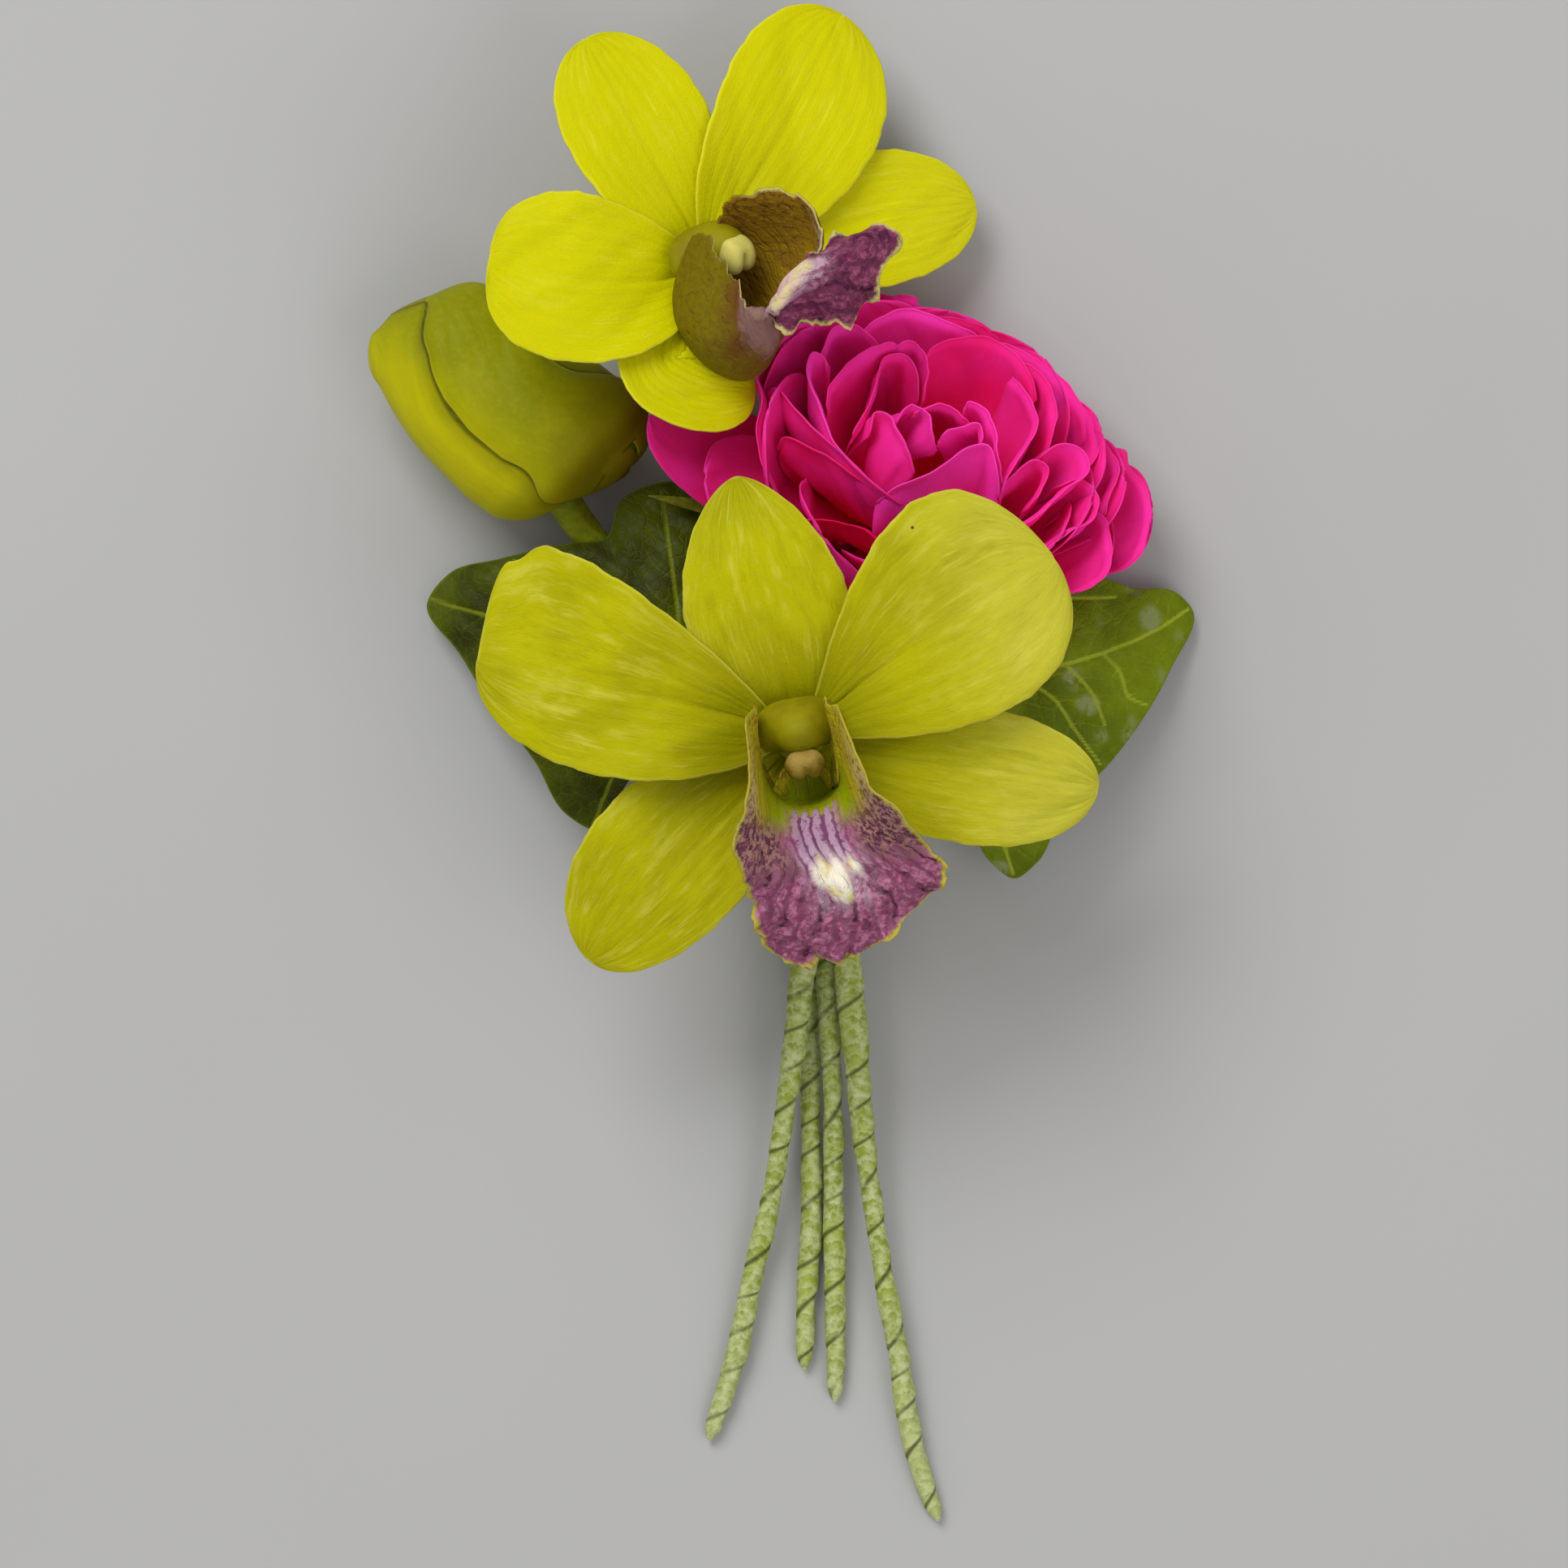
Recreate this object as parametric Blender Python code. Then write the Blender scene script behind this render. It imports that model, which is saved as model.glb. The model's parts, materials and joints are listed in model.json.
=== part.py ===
"""Posy of two green orchids, a half-open orchid bud, a spray rose and two ivy leaves on taped wire stems.

It lies on its back: +Z is up, out of the faces of the blooms, and +Y runs from the stem ends to the top
bloom. The scene is in metres. The sizes below are in millimetres, in a layout whose X and Y are those of the
posy seen from straight above; MM and LAYOUT_CENTRE turn them into the part's own frame.
"""

import bmesh
import bpy
import numpy as np

MM = 0.001
LAYOUT_CENTRE = np.array([0.341, 0.517, 0.0])

CLEARANCE = 0.4
TEPAL_THICKNESS = 0.8
LIP_THICKNESS = 0.7
ROSE_THICKNESS = 0.65
LEAF_THICKNESS = 0.7

TEPAL_ROWS, TEPAL_COLUMNS = 8, 6
LIP_ROWS, LIP_COLUMNS = 14, 9
ROSE_ROWS, ROSE_COLUMNS = 5, 5
BLADE_START, BLADE_END = 0.015, 0.93
LIP_STEPS = 40

# Colour (linear), roughness and metallic value of each finish
FINISHES = {
    "orchid_green": ((0.56, 0.58, 0.01), 0.45, 0.0),
    "lip_purple": ((0.24, 0.06, 0.18), 0.5, 0.0),
    "column_green": ((0.45, 0.42, 0.03), 0.4, 0.0),
    "anther_cream": ((0.75, 0.68, 0.35), 0.4, 0.0),
    "bud_green": ((0.30, 0.34, 0.01), 0.5, 0.0),
    "rose_pink": ((0.72, 0.0, 0.16), 0.5, 0.0),
    "calyx_green": ((0.16, 0.22, 0.03), 0.6, 0.0),
    "ivy_green": ((0.06, 0.16, 0.01), 0.35, 0.0),
    "stem_tape": ((0.27, 0.36, 0.10), 0.75, 0.0),
    "florist_wire": ((0.05, 0.12, 0.05), 0.4, 1.0),
}


def unit(vectors):
    """The vectors scaled to length 1."""
    vectors = np.asarray(vectors, float)
    return vectors / np.linalg.norm(vectors, axis=-1, keepdims=True)


def smooth(stations, values, at):
    """Cubic Hermite curve through the values at their stations, with slopes from their neighbours."""
    stations = np.asarray(stations, float)
    values = np.asarray(values, float)
    slopes = np.gradient(values, stations, axis=0)
    k = np.clip(np.searchsorted(stations, at, side="right") - 1, 0, len(stations) - 2)
    span = stations[k + 1] - stations[k]
    t = (at - stations[k]) / span
    if values.ndim > 1:
        t, span = t[:, None], span[:, None]
    start = (2 * t**3 - 3 * t**2 + 1) * values[k] + (t**3 - 2 * t**2 + t) * span * slopes[k]
    end = (3 * t**2 - 2 * t**3) * values[k + 1] + (t**3 - t**2) * span * slopes[k + 1]
    return start + end


def chord_stations(points):
    """Running length along the straight lines between the points."""
    steps = np.linalg.norm(np.diff(np.asarray(points, float), axis=0), axis=1)
    return np.concatenate([[0.0], np.cumsum(steps)])


def route(points, start, end, count):
    """Points at equal steps along the smooth curve through points, from start to end as running lengths."""
    stations = chord_stations(points)
    return smooth(stations, points, np.linspace(start, end, count))


def blade_outline(u, rise, fall):
    """Share of the full half-width at u along a blade: u^rise (1-u)^fall, scaled to 1 where it is widest."""
    widest = rise / (rise + fall)
    peak = widest**rise * (1 - widest) ** fall
    return u**rise * (1 - u) ** fall / peak


def blade(spine, facing, halves, rise, fall, bend, twist=0.0, wave=0.0, waves=2.0, rows=8, columns=7):
    """Grid of points of a petal, sepal or other blade.

    The rows follow the smooth spine, closer together at the rounded tip. Across each row the blade is an arc
    of the half-width's length that turns through bend towards the facing side, from the base's bend to the
    tip's. halves are the half-widths to the left and right of the spine, rise and fall shape the outline on
    each of these sides, twist turns the rows round the spine, and wave lifts the edges up and down.
    """
    s = np.linspace(BLADE_START, BLADE_END, rows)
    u = 1 - (1 - s) ** 2
    spine = np.asarray(spine, float)
    stations = chord_stations(spine)
    centre = smooth(stations / stations[-1], spine, u)
    along = unit(np.gradient(centre, u, axis=0))
    side = unit(np.cross(along, facing))
    up = np.cross(side, along)
    turn = np.full(rows, twist)[:, None]
    side, up = side * np.cos(turn) + up * np.sin(turn), up * np.cos(turn) - side * np.sin(turn)
    v = np.linspace(-1, 1, columns)[None, :]
    left = halves[0] * blade_outline(u, rise[0], fall[0])[:, None]
    right = halves[1] * blade_outline(u, rise[1], fall[1])[:, None]
    half = np.where(v < 0, left, right)
    angle = (bend[0] * (1 - u) + bend[1] * u)[:, None] + 1e-6
    across = half * np.sin(angle * v) / angle
    lift = half * (1 - np.cos(angle * v)) / angle
    lift = lift + wave * v**2 * np.sin(np.pi * waves * u[:, None] + 1.3 * np.sign(v)) * half / max(halves)
    return centre[:, None] + across[..., None] * side[:, None] + lift[..., None] * up[:, None]


def lip(frame, spine, half_arcs, bends, curls, ruffle, rows=LIP_ROWS, columns=LIP_COLUMNS):
    """Grid of points of an orchid's lip.

    frame is the flower's centre with its sideways, downward and outward directions. spine is the midline in
    the downward-outward plane. Each row is a curve of half-length half_arcs to each side of it, whose slope
    at the share v of that length is bend (v - curl v^3): nearly a right angle at the throat, where the side
    lobes stand round the column and flare at the rim, and slightly back at the frilled middle lobe. ruffle
    is the height of the frill at the edge.
    """
    centre, sideways, downward, outward = frame
    s = np.linspace(0, 0.975, rows)
    u = 1 - (1 - s) ** 1.3
    stations = chord_stations(spine)
    middle = smooth(stations / stations[-1], spine, u)
    along = unit(np.gradient(middle, u, axis=0))
    up = np.stack([-along[:, 1], along[:, 0]], axis=1)
    share = np.linspace(0, 1, len(half_arcs))
    half = smooth(share, half_arcs, u)[:, None]
    bend = np.radians(smooth(share, bends, u))[:, None]
    curl = smooth(share, curls, u)[:, None]
    # The curve is summed in small steps of its length, of which each column takes its own
    t = (np.arange(LIP_STEPS) + 0.5) / LIP_STEPS
    slope = bend * (t - curl * t**3)
    start = np.zeros((rows, 1))
    reach = np.concatenate([start, np.cumsum(np.cos(slope), axis=1)], axis=1) / LIP_STEPS
    climb = np.concatenate([start, np.cumsum(np.sin(slope), axis=1)], axis=1) / LIP_STEPS
    v = np.linspace(-1, 1, columns)
    step = np.round(np.abs(v) * LIP_STEPS).astype(int)
    across = half * reach[:, step] * np.sign(v)
    lift = half * climb[:, step]
    frill = np.clip((u[:, None] - 0.4) / 0.25, 0, 1) * ruffle * np.abs(v) ** 3
    lift = lift + frill * np.sin(2 * np.pi * 4.2 * u[:, None] + 0.9 * np.sign(v))
    flat = middle[:, None] + lift[..., None] * up[:, None]
    return (
        centre
        + across[..., None] * sideways
        + flat[..., 0:1] * downward
        + flat[..., 1:2] * outward
    )


def build_mesh(name, points, faces):
    """A linked mesh object in the part's frame, with its faces turned outwards."""
    points = (np.asarray(points) - LAYOUT_CENTRE) * MM
    triangles = np.array([(f[0], f[i], f[i + 1]) for f in faces for i in range(1, len(f) - 1)])
    a, b, c = (points[triangles[:, i]] for i in range(3))
    volume = np.einsum("ij,ij->i", a, np.cross(b, c)).sum()
    if volume < 0:
        faces = [tuple(reversed(f)) for f in faces]
    mesh = bpy.data.meshes.new(name)
    mesh.from_pydata(points.tolist(), [], faces)
    mesh.shade_smooth()
    obj = bpy.data.objects.new(name, mesh)
    bpy.context.scene.collection.objects.link(obj)
    return obj


def sheet(name, grid, thickness):
    """A closed solid from a grid of points, half the thickness to each side of it, split alike on both faces."""
    rows, columns = grid.shape[:2]
    normal = unit(np.cross(np.gradient(grid, axis=1), np.gradient(grid, axis=0)))
    points = np.concatenate([grid + normal * thickness / 2, grid - normal * thickness / 2]).reshape(-1, 3)
    index = np.arange(rows * columns).reshape(rows, columns)
    a, b, c, d = index[:-1, :-1], index[1:, :-1], index[1:, 1:], index[:-1, 1:]
    top = np.concatenate([np.stack([a, b, c], -1).reshape(-1, 3), np.stack([a, c, d], -1).reshape(-1, 3)])
    loop = np.concatenate([index[0], index[1:, -1], index[-1, -2::-1], index[-2:0:-1, 0]])
    ahead = np.roll(loop, -1)
    below = rows * columns
    rim = np.concatenate(
        [np.stack([loop, ahead, ahead + below], 1), np.stack([loop, ahead + below, loop + below], 1)]
    )
    faces = np.concatenate([top, top[:, ::-1] + below, rim])
    return build_mesh(name, points, [tuple(f) for f in faces.tolist()])


def rings(path, radii, sides, reference, flatten=1.0):
    """Rings of points round a path, each square to it. reference is a direction that the path never takes."""
    along = unit(np.gradient(path, axis=0))
    side = unit(np.cross(along, reference))
    up = np.cross(side, along)
    angle = np.linspace(0, 2 * np.pi, sides, endpoint=False)[None, :, None]
    radii = np.broadcast_to(radii, len(path))[:, None, None]
    return path[:, None] + radii * (np.cos(angle) * side[:, None] + flatten * np.sin(angle) * up[:, None])


def tube_faces(count, sides, first=0):
    """Quads between the neighbouring rings of a tube whose points start at first."""
    return [
        (
            first + r * sides + k,
            first + r * sides + (k + 1) % sides,
            first + (r + 1) * sides + (k + 1) % sides,
            first + (r + 1) * sides + k,
        )
        for r in range(count - 1)
        for k in range(sides)
    ]


def tube(name, path, radii, sides, reference, flatten=1.0):
    """A solid round bar along a path, with flat ends."""
    points = rings(path, radii, sides, reference, flatten)
    count = len(path)
    ends = [tuple(range(sides))[::-1], tuple(range((count - 1) * sides, count * sides))]
    return build_mesh(name, points.reshape(-1, 3), tube_faces(count, sides) + ends)


def pipe(name, path, radii, bore, sides, reference):
    """A tube along a path with a round bore right through it."""
    outer = rings(path, radii, sides, reference)
    inner = rings(path, bore, sides, reference)
    count = len(path)
    first = count * sides
    walls = tube_faces(count, sides) + [f[::-1] for f in tube_faces(count, sides, first)]
    lips = []
    for k in range(sides):
        ahead = (k + 1) % sides
        lips.append((k, first + k, first + ahead, ahead))
        last = (count - 1) * sides
        lips.append((last + ahead, first + last + ahead, first + last + k, last + k))
    return build_mesh(name, np.concatenate([outer, inner]).reshape(-1, 3), walls + lips)


def ball(name, centre, radii, segments=10, levels=6):
    """An ellipsoid with its poles along Z."""
    tilt = np.linspace(0, np.pi, levels + 1)[1:-1]
    turn = np.linspace(0, 2 * np.pi, segments, endpoint=False)
    band = np.stack(
        [
            np.sin(tilt)[:, None] * np.cos(turn),
            np.sin(tilt)[:, None] * np.sin(turn),
            np.repeat(np.cos(tilt)[:, None], segments, axis=1),
        ],
        -1,
    ).reshape(-1, 3)
    points = np.concatenate([band, [[0, 0, 1], [0, 0, -1]]]) * radii + centre
    top, bottom = len(band), len(band) + 1
    last = (levels - 2) * segments
    faces = [f[::-1] for f in tube_faces(levels - 1, segments)]
    faces += [(top, k, (k + 1) % segments) for k in range(segments)]
    faces += [(bottom, last + (k + 1) % segments, last + k) for k in range(segments)]
    return build_mesh(name, points, faces)


def keep_outer_shell(mesh):
    """The mesh without the small pockets that overlapping blades shut in: only its largest shell stays."""
    shape = bmesh.new()
    shape.from_mesh(mesh)
    bmesh.ops.triangulate(shape, faces=shape.faces)
    shape.verts.ensure_lookup_table()
    shell = np.full(len(shape.verts), -1)
    for first in shape.verts:
        if shell[first.index] >= 0:
            continue
        reached = [first]
        shell[first.index] = first.index
        while reached:
            vertex = reached.pop()
            for edge in vertex.link_edges:
                other = edge.other_vert(vertex)
                if shell[other.index] < 0:
                    shell[other.index] = first.index
                    reached.append(other)
    largest = np.bincount(shell).argmax()
    pockets = [vertex for vertex in shape.verts if shell[vertex.index] != largest]
    bmesh.ops.delete(shape, geom=pockets, context="VERTS")
    shape.to_mesh(mesh)
    shape.free()
    return mesh


def combine(base, others, operation, solver="MANIFOLD"):
    """base united with, or cut by, the other objects, which are then removed."""
    tools = bpy.data.collections.new(base.name + "_tools")
    bpy.context.scene.collection.children.link(tools)
    for other in others:
        bpy.context.scene.collection.objects.unlink(other)
        tools.objects.link(other)
    modifier = base.modifiers.new("combine", "BOOLEAN")
    modifier.operation = operation
    modifier.operand_type = "COLLECTION"
    modifier.collection = tools
    modifier.solver = solver
    depsgraph = bpy.context.evaluated_depsgraph_get()
    result = bpy.data.meshes.new_from_object(base.evaluated_get(depsgraph))
    base.modifiers.clear()
    base.data = keep_outer_shell(result)
    for other in others:
        bpy.data.objects.remove(other)
    bpy.data.collections.remove(tools)
    return base


def finish(obj, name, finish_name):
    """Names a node and gives it the material of its finish."""
    obj.name = name
    obj.data.name = name
    colour, roughness, metallic = FINISHES[finish_name]
    material = bpy.data.materials.get(finish_name)
    if material is None:
        material = bpy.data.materials.new(finish_name)
        material.use_nodes = True
        shader = material.node_tree.nodes["Principled BSDF"]
        shader.inputs["Base Color"].default_value = (*colour, 1)
        shader.inputs["Roughness"].default_value = roughness
        shader.inputs["Metallic"].default_value = metallic
    obj.data.materials.clear()
    obj.data.materials.append(material)
    return obj


# Stems. Each route runs from the cut end, through the binding, to the flower it carries.
STEM_RADII = ((0.0, 0.9), (6.0, 1.08), (38.0, 1.1), (56.0, 1.5), (140.0, 1.5))
BORE_RADIUS, WIRE_RADIUS = 0.62, 0.32
STEM_SIDES, WIRE_SIDES, STEM_RINGS = 8, 6, 14
WIRE_INSET = 1.0

BINDING_X, BINDING_HEIGHT = 4.75, 5.885
BINDING_Y = (-16.2, -9.2)
BINDING_OUTER, BINDING_INNER = 6.1, 5.25

BUD_ROUTE = [
    (-8.5, -75.8, 0.95), (-5.4, -66.0, 1.6), (-3.5, -57.0, 2.4), (-1.7, -49.3, 3.4), (-0.2, -40.4, 4.8),
    (1.1, -31.4, 6.4), (2.1, -22.5, 8.0), (2.8, -16.2, 8.7), (2.8, -9.2, 8.65), (-0.5, -1.0, 7.2),
    (-7.5, 8.5, 6.0), (-14.2, 17.0, 5.4), (-18.4, 24.0, 5.2), (-20.2, 28.6, 6.0), (-22.0, 34.0, 8.2),
]
BACK_ORCHID_ROUTE = [
    (2.3, -67.7, 0.95), (2.5, -60.0, 1.2), (3.1, -51.6, 1.5), (3.1, -44.8, 1.7), (3.0, -38.2, 2.0),
    (2.9, -29.2, 2.6), (2.8, -22.5, 3.0), (2.75, -16.2, 3.3), (2.75, -9.2, 3.4), (1.0, 4.0, 3.4),
    (-3.0, 20.0, 3.6), (-7.0, 34.0, 4.2), (-8.8, 42.0, 5.2), (-9.6, 49.0, 8.0), (-9.2, 54.6, 15.5),
]
ROSE_ROUTE = [
    (5.8, -71.4, 0.95), (5.85, -67.2, 1.2), (5.8, -58.3, 1.9), (5.6, -49.3, 2.7), (5.6, -40.4, 3.6),
    (5.3, -31.4, 4.6), (4.9, -22.5, 5.5), (4.8, -16.2, 5.95), (4.8, -9.2, 6.0), (6.6, 1.0, 5.6),
    (9.6, 11.0, 5.0), (12.0, 18.5, 5.0), (12.7, 22.5, 6.0), (13.0, 25.6, 7.6),
]
FRONT_ORCHID_ROUTE = [
    (17.5, -84.9, 0.95), (15.5, -79.3, 1.4), (13.9, -72.6, 2.0), (12.9, -65.4, 2.6), (11.5, -58.3, 3.2),
    (10.1, -49.3, 4.1), (8.9, -40.4, 5.3), (8.1, -31.4, 6.8), (7.2, -22.5, 8.1), (6.6, -16.2, 8.7),
    (6.5, -9.2, 8.65), (6.2, -5.6, 9.5), (4.8, -1.0, 13.6), (2.9, 2.0, 19.5), (1.9, 3.4, 25.5),
    (1.7, 4.0, 29.5),
]
# Name of the stem, its route, and the length of flower stalk left bare beyond the tape
STEMS = {
    "bud": (BUD_ROUTE, 17.0),
    "back_orchid": (BACK_ORCHID_ROUTE, 16.0),
    "rose": (ROSE_ROUTE, 5.0),
    "front_orchid": (FRONT_ORCHID_ROUTE, 9.0),
}
SIDEWAYS = np.array([1.0, 0.0, 0.0])


def tape_end(flower):
    """Running length of a stem's route at which its tape stops."""
    points, bare = STEMS[flower]
    return chord_stations(points)[-1] - bare


def stem(flower):
    """The taped stem of a flower, bored for its wire, and the wire."""
    points, _ = STEMS[flower]
    end = tape_end(flower)
    path = route(points, 0.0, end, STEM_RINGS)
    lengths = np.linspace(0.0, end, len(path))
    radii = smooth(*zip(*STEM_RADII), lengths)
    tape = pipe("tape", path, radii, BORE_RADIUS, STEM_SIDES, SIDEWAYS)
    finish(tape, f"stem_{flower}", "stem_tape")
    core = route(points, WIRE_INSET, end - WIRE_INSET, STEM_RINGS)
    wire = tube("wire", core, WIRE_RADIUS, WIRE_SIDES, SIDEWAYS)
    finish(wire, f"wire_{flower}", "florist_wire")


def flower_stalk(flower, radii, count=5):
    """The bare stalk of a flower, from just past the end of the tape to the end of its route."""
    points, _ = STEMS[flower]
    start = tape_end(flower) + CLEARANCE
    end = chord_stations(points)[-1]
    path = route(points, start, end, count)
    return tube("stalk", path, np.linspace(*radii, count), STEM_SIDES, SIDEWAYS)


def binding():
    """The band of tape round the four stems, flattened where it lies on the surface."""
    sides = 24
    angle = np.linspace(0, 2 * np.pi, sides, endpoint=False)

    def ring(radius, y):
        height = np.maximum(BINDING_HEIGHT + radius * np.sin(angle), 0.0)
        return np.stack([BINDING_X + radius * np.cos(angle), np.full(sides, y), height], 1)

    profile = [
        (BINDING_OUTER - 0.25, BINDING_Y[0]), (BINDING_OUTER, BINDING_Y[0] + 0.5),
        (BINDING_OUTER, BINDING_Y[1] - 0.5), (BINDING_OUTER - 0.25, BINDING_Y[1]),
        (BINDING_INNER, BINDING_Y[1]), (BINDING_INNER, BINDING_Y[0]),
    ]
    points = np.concatenate([ring(radius, y) for radius, y in profile])
    faces = tube_faces(len(profile), sides)
    last = (len(profile) - 1) * sides
    faces += [(last + k, last + (k + 1) % sides, (k + 1) % sides, k) for k in range(sides)]
    finish(build_mesh("band", points, faces), "binding_tape", "stem_tape")


# Orchids. Each blade's spine gives X, Y and the height above the flower's plane.
FRONT_CENTRE, FRONT_NORMAL = np.array([1.7, 4.05, 31.0]), unit([0.0, -0.12, 0.99])
FRONT_TEPALS = {
    "dorsal_sepal": dict(
        spine=[(1.4, 4.6, -0.6), (-0.2, 11.6, 1.4), (-2.6, 20.6, 2.4), (-5.3, 32.2, 0.4)],
        halves=(9.2, 9.2), rise=(0.50, 0.50), fall=(0.62, 0.66), bend=(0.5, -0.2)),
    "left_petal": dict(
        spine=[(0.6, 4.4, 0.6), (-8.0, 6.8, 2.8), (-18.0, 9.0, 4.0), (-33.6, 12.4, 1.2)],
        halves=(9.8, 13.6), rise=(0.60, 1.05), fall=(0.45, 0.21), bend=(0.6, -0.15)),
    "right_petal": dict(
        spine=[(1.8, 4.6, 0.6), (9.0, 9.9, 2.8), (18.0, 15.8, 4.2), (29.6, 23.2, 1.6)],
        halves=(13.6, 11.3), rise=(1.35, 0.82), fall=(0.56, 0.42), bend=(0.6, -0.15)),
    "lower_right_sepal": dict(
        spine=[(2.4, 3.2, -0.6), (11.0, 1.6, 0.6), (22.0, 0.1, 1.2), (34.6, -1.8, -1.0)],
        halves=(6.9, 8.4), rise=(0.60, 0.60), fall=(0.50, 0.45), bend=(0.5, -0.1)),
    "lower_left_sepal": dict(
        spine=[(0.8, 2.8, -0.6), (-6.0, -4.4, 0.4), (-13.0, -11.8, 1.0), (-21.7, -20.8, -2.0)],
        halves=(7.7, 10.2), rise=(0.55, 0.60), fall=(0.45, 0.52), bend=(0.5, -0.1)),
}
BACK_CENTRE, BACK_NORMAL = np.array([-8.6, 55.6, 18.0]), unit([0.36, 0.12, 0.925])
BACK_TEPALS = {
    "dorsal_sepal": dict(
        spine=[(-8.7, 56.6, -0.6), (-11.2, 62.0, 1.0), (-15.8, 70.4, 2.0), (-22.0, 81.4, 0.8)],
        halves=(8.6, 8.6), rise=(0.62, 0.62), fall=(0.46, 0.46), bend=(0.5, -0.1)),
    "upper_petal": dict(
        spine=[(-8.3, 56.6, 0.6), (-5.0, 63.0, 1.8), (0.4, 72.0, 2.6), (6.6, 85.0, 0.8)],
        halves=(9.3, 10.0), rise=(0.7, 0.7), fall=(0.46, 0.46), bend=(0.5, -0.1)),
    "right_sepal": dict(
        spine=[(-7.4, 56.0, -0.6), (0.0, 58.8, 0.8), (10.0, 61.9, 1.2), (21.6, 64.0, 0.2)],
        halves=(7.8, 7.8), rise=(0.62, 0.62), fall=(0.46, 0.46), bend=(0.5, -0.1)),
    "left_petal": dict(
        spine=[(-9.4, 55.4, 0.6), (-15.0, 54.4, 2.0), (-22.0, 54.3, 3.0), (-32.5, 56.6, 1.4)],
        halves=(9.6, 9.6), rise=(0.62, 0.62), fall=(0.38, 0.36), bend=(0.5, -0.1)),
    "lower_sepal": dict(
        spine=[(-8.8, 54.8, -0.6), (-12.9, 49.4, 0.8), (-13.4, 45.0, 1.6), (-9.6, 42.6, 1.8), (-3.2, 41.9, 2.0)],
        halves=(5.0, 5.6), rise=(0.42, 0.42), fall=(0.38, 0.38), bend=(0.5, 0.2)),
}
RECEPTACLE = np.array([3.3, 3.3, 2.9])
RECEPTACLE_DEPTH = 1.4

LIP_HALF_ARCS = (2.8, 8.4, 16.4, 16.8, 13.6, 9.6, 10.5, 9.0, 2.4)
LIP_BENDS = (40, 110, 165, 170, 130, 48, 6, -10, -16)
LIP_CURLS = (0.1, 0.3, 0.42, 0.48, 0.5, 0.4, 0.0, 0.0, 0.0)
FRONT_LIP = dict(
    centre=FRONT_CENTRE, normal=unit([0.04, -0.22, 0.975]), towards=(0.16, -0.98, 0.0),
    spine=[(2.8, 1.5), (5.2, 1.4), (7.4, 1.9), (8.3, 4.2), (8.6, 7.0), (8.9, 9.8), (11.0, 12.0), (15.0, 12.7),
           (19.4, 11.5), (23.6, 9.2)])
BACK_LIP = dict(
    centre=BACK_CENTRE + np.array([-1.2, 0.4, 1.0]), normal=unit([0.62, 0.08, 0.78]), towards=(0.40, -0.88, 0.0),
    spine=[(2.8, 1.6), (5.8, 1.5), (8.6, 1.9), (10.0, 4.2), (10.0, 7.4), (9.6, 10.8), (9.0, 14.2), (8.8, 18.0),
           (9.6, 21.4), (11.2, 24.0)])
COLUMN_PATH = [(-1.2, 1.9), (-1.3, 4.2), (-1.0, 6.3), (-0.2, 7.6)]
COLUMN_RADII = (2.2, 2.5, 2.6, 2.1)
ANTHER_OFFSET, ANTHER_RADII = (2.9, 7.4), (1.6, 1.35, 1.35)


def on_plane(points, centre, normal):
    """Points given as X, Y and height above a flower's plane, as X, Y and Z."""
    points = np.array(points, float)
    rise = (points[:, :2] - centre[:2]) @ normal[:2] / normal[2]
    points[:, 2] += centre[2] - rise
    return points


def flower_frame(centre, normal, towards):
    """The flower's centre and its sideways, downward and outward directions; the lip points along towards."""
    downward = np.asarray(towards, float) - np.dot(towards, normal) * normal
    downward = unit(downward)
    return centre, np.cross(normal, downward), downward, normal


def in_flower(frame, points):
    """Points of a flower's downward-outward midplane in the layout."""
    centre, _, downward, outward = frame
    points = np.asarray(points, float)
    return centre + points[:, 0:1] * downward + points[:, 1:2] * outward


def orchid(name, centre, normal, tepals, lip_shape, ruffle):
    """An orchid bloom: its fused sepals, petals and stalk, its lip, its column and its anther cap."""
    core = ball("core", centre - RECEPTACLE_DEPTH * normal, RECEPTACLE)
    blades = []
    for tepal in tepals.values():
        shape = dict(tepal, spine=on_plane(tepal["spine"], centre, normal))
        grid = blade(facing=normal, rows=TEPAL_ROWS, columns=TEPAL_COLUMNS, **shape)
        blades.append(sheet("tepal", grid, TEPAL_THICKNESS))
    stalk = flower_stalk(name, (1.4, 2.0))
    finish(combine(core, blades + [stalk], "UNION"), f"{name}_sepals_and_petals", "orchid_green")

    frame = flower_frame(lip_shape["centre"], lip_shape["normal"], lip_shape["towards"])
    grid = lip(frame, lip_shape["spine"], LIP_HALF_ARCS, LIP_BENDS, LIP_CURLS, ruffle)
    finish(sheet("lip", grid, LIP_THICKNESS), f"{name}_lip", "lip_purple")

    path = in_flower(frame, COLUMN_PATH)
    stations = chord_stations(path)
    steps = np.linspace(0, stations[-1], 7)
    radii = smooth(stations, COLUMN_RADII, steps)
    column = tube("column", smooth(stations, path, steps), radii, 10, frame[1])
    finish(column, f"{name}_column", "column_green")
    cap_centre = in_flower(frame, [ANTHER_OFFSET])[0]
    finish(ball("cap", cap_centre, ANTHER_RADII, 8, 6), f"{name}_anther_cap", "anther_cream")


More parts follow.
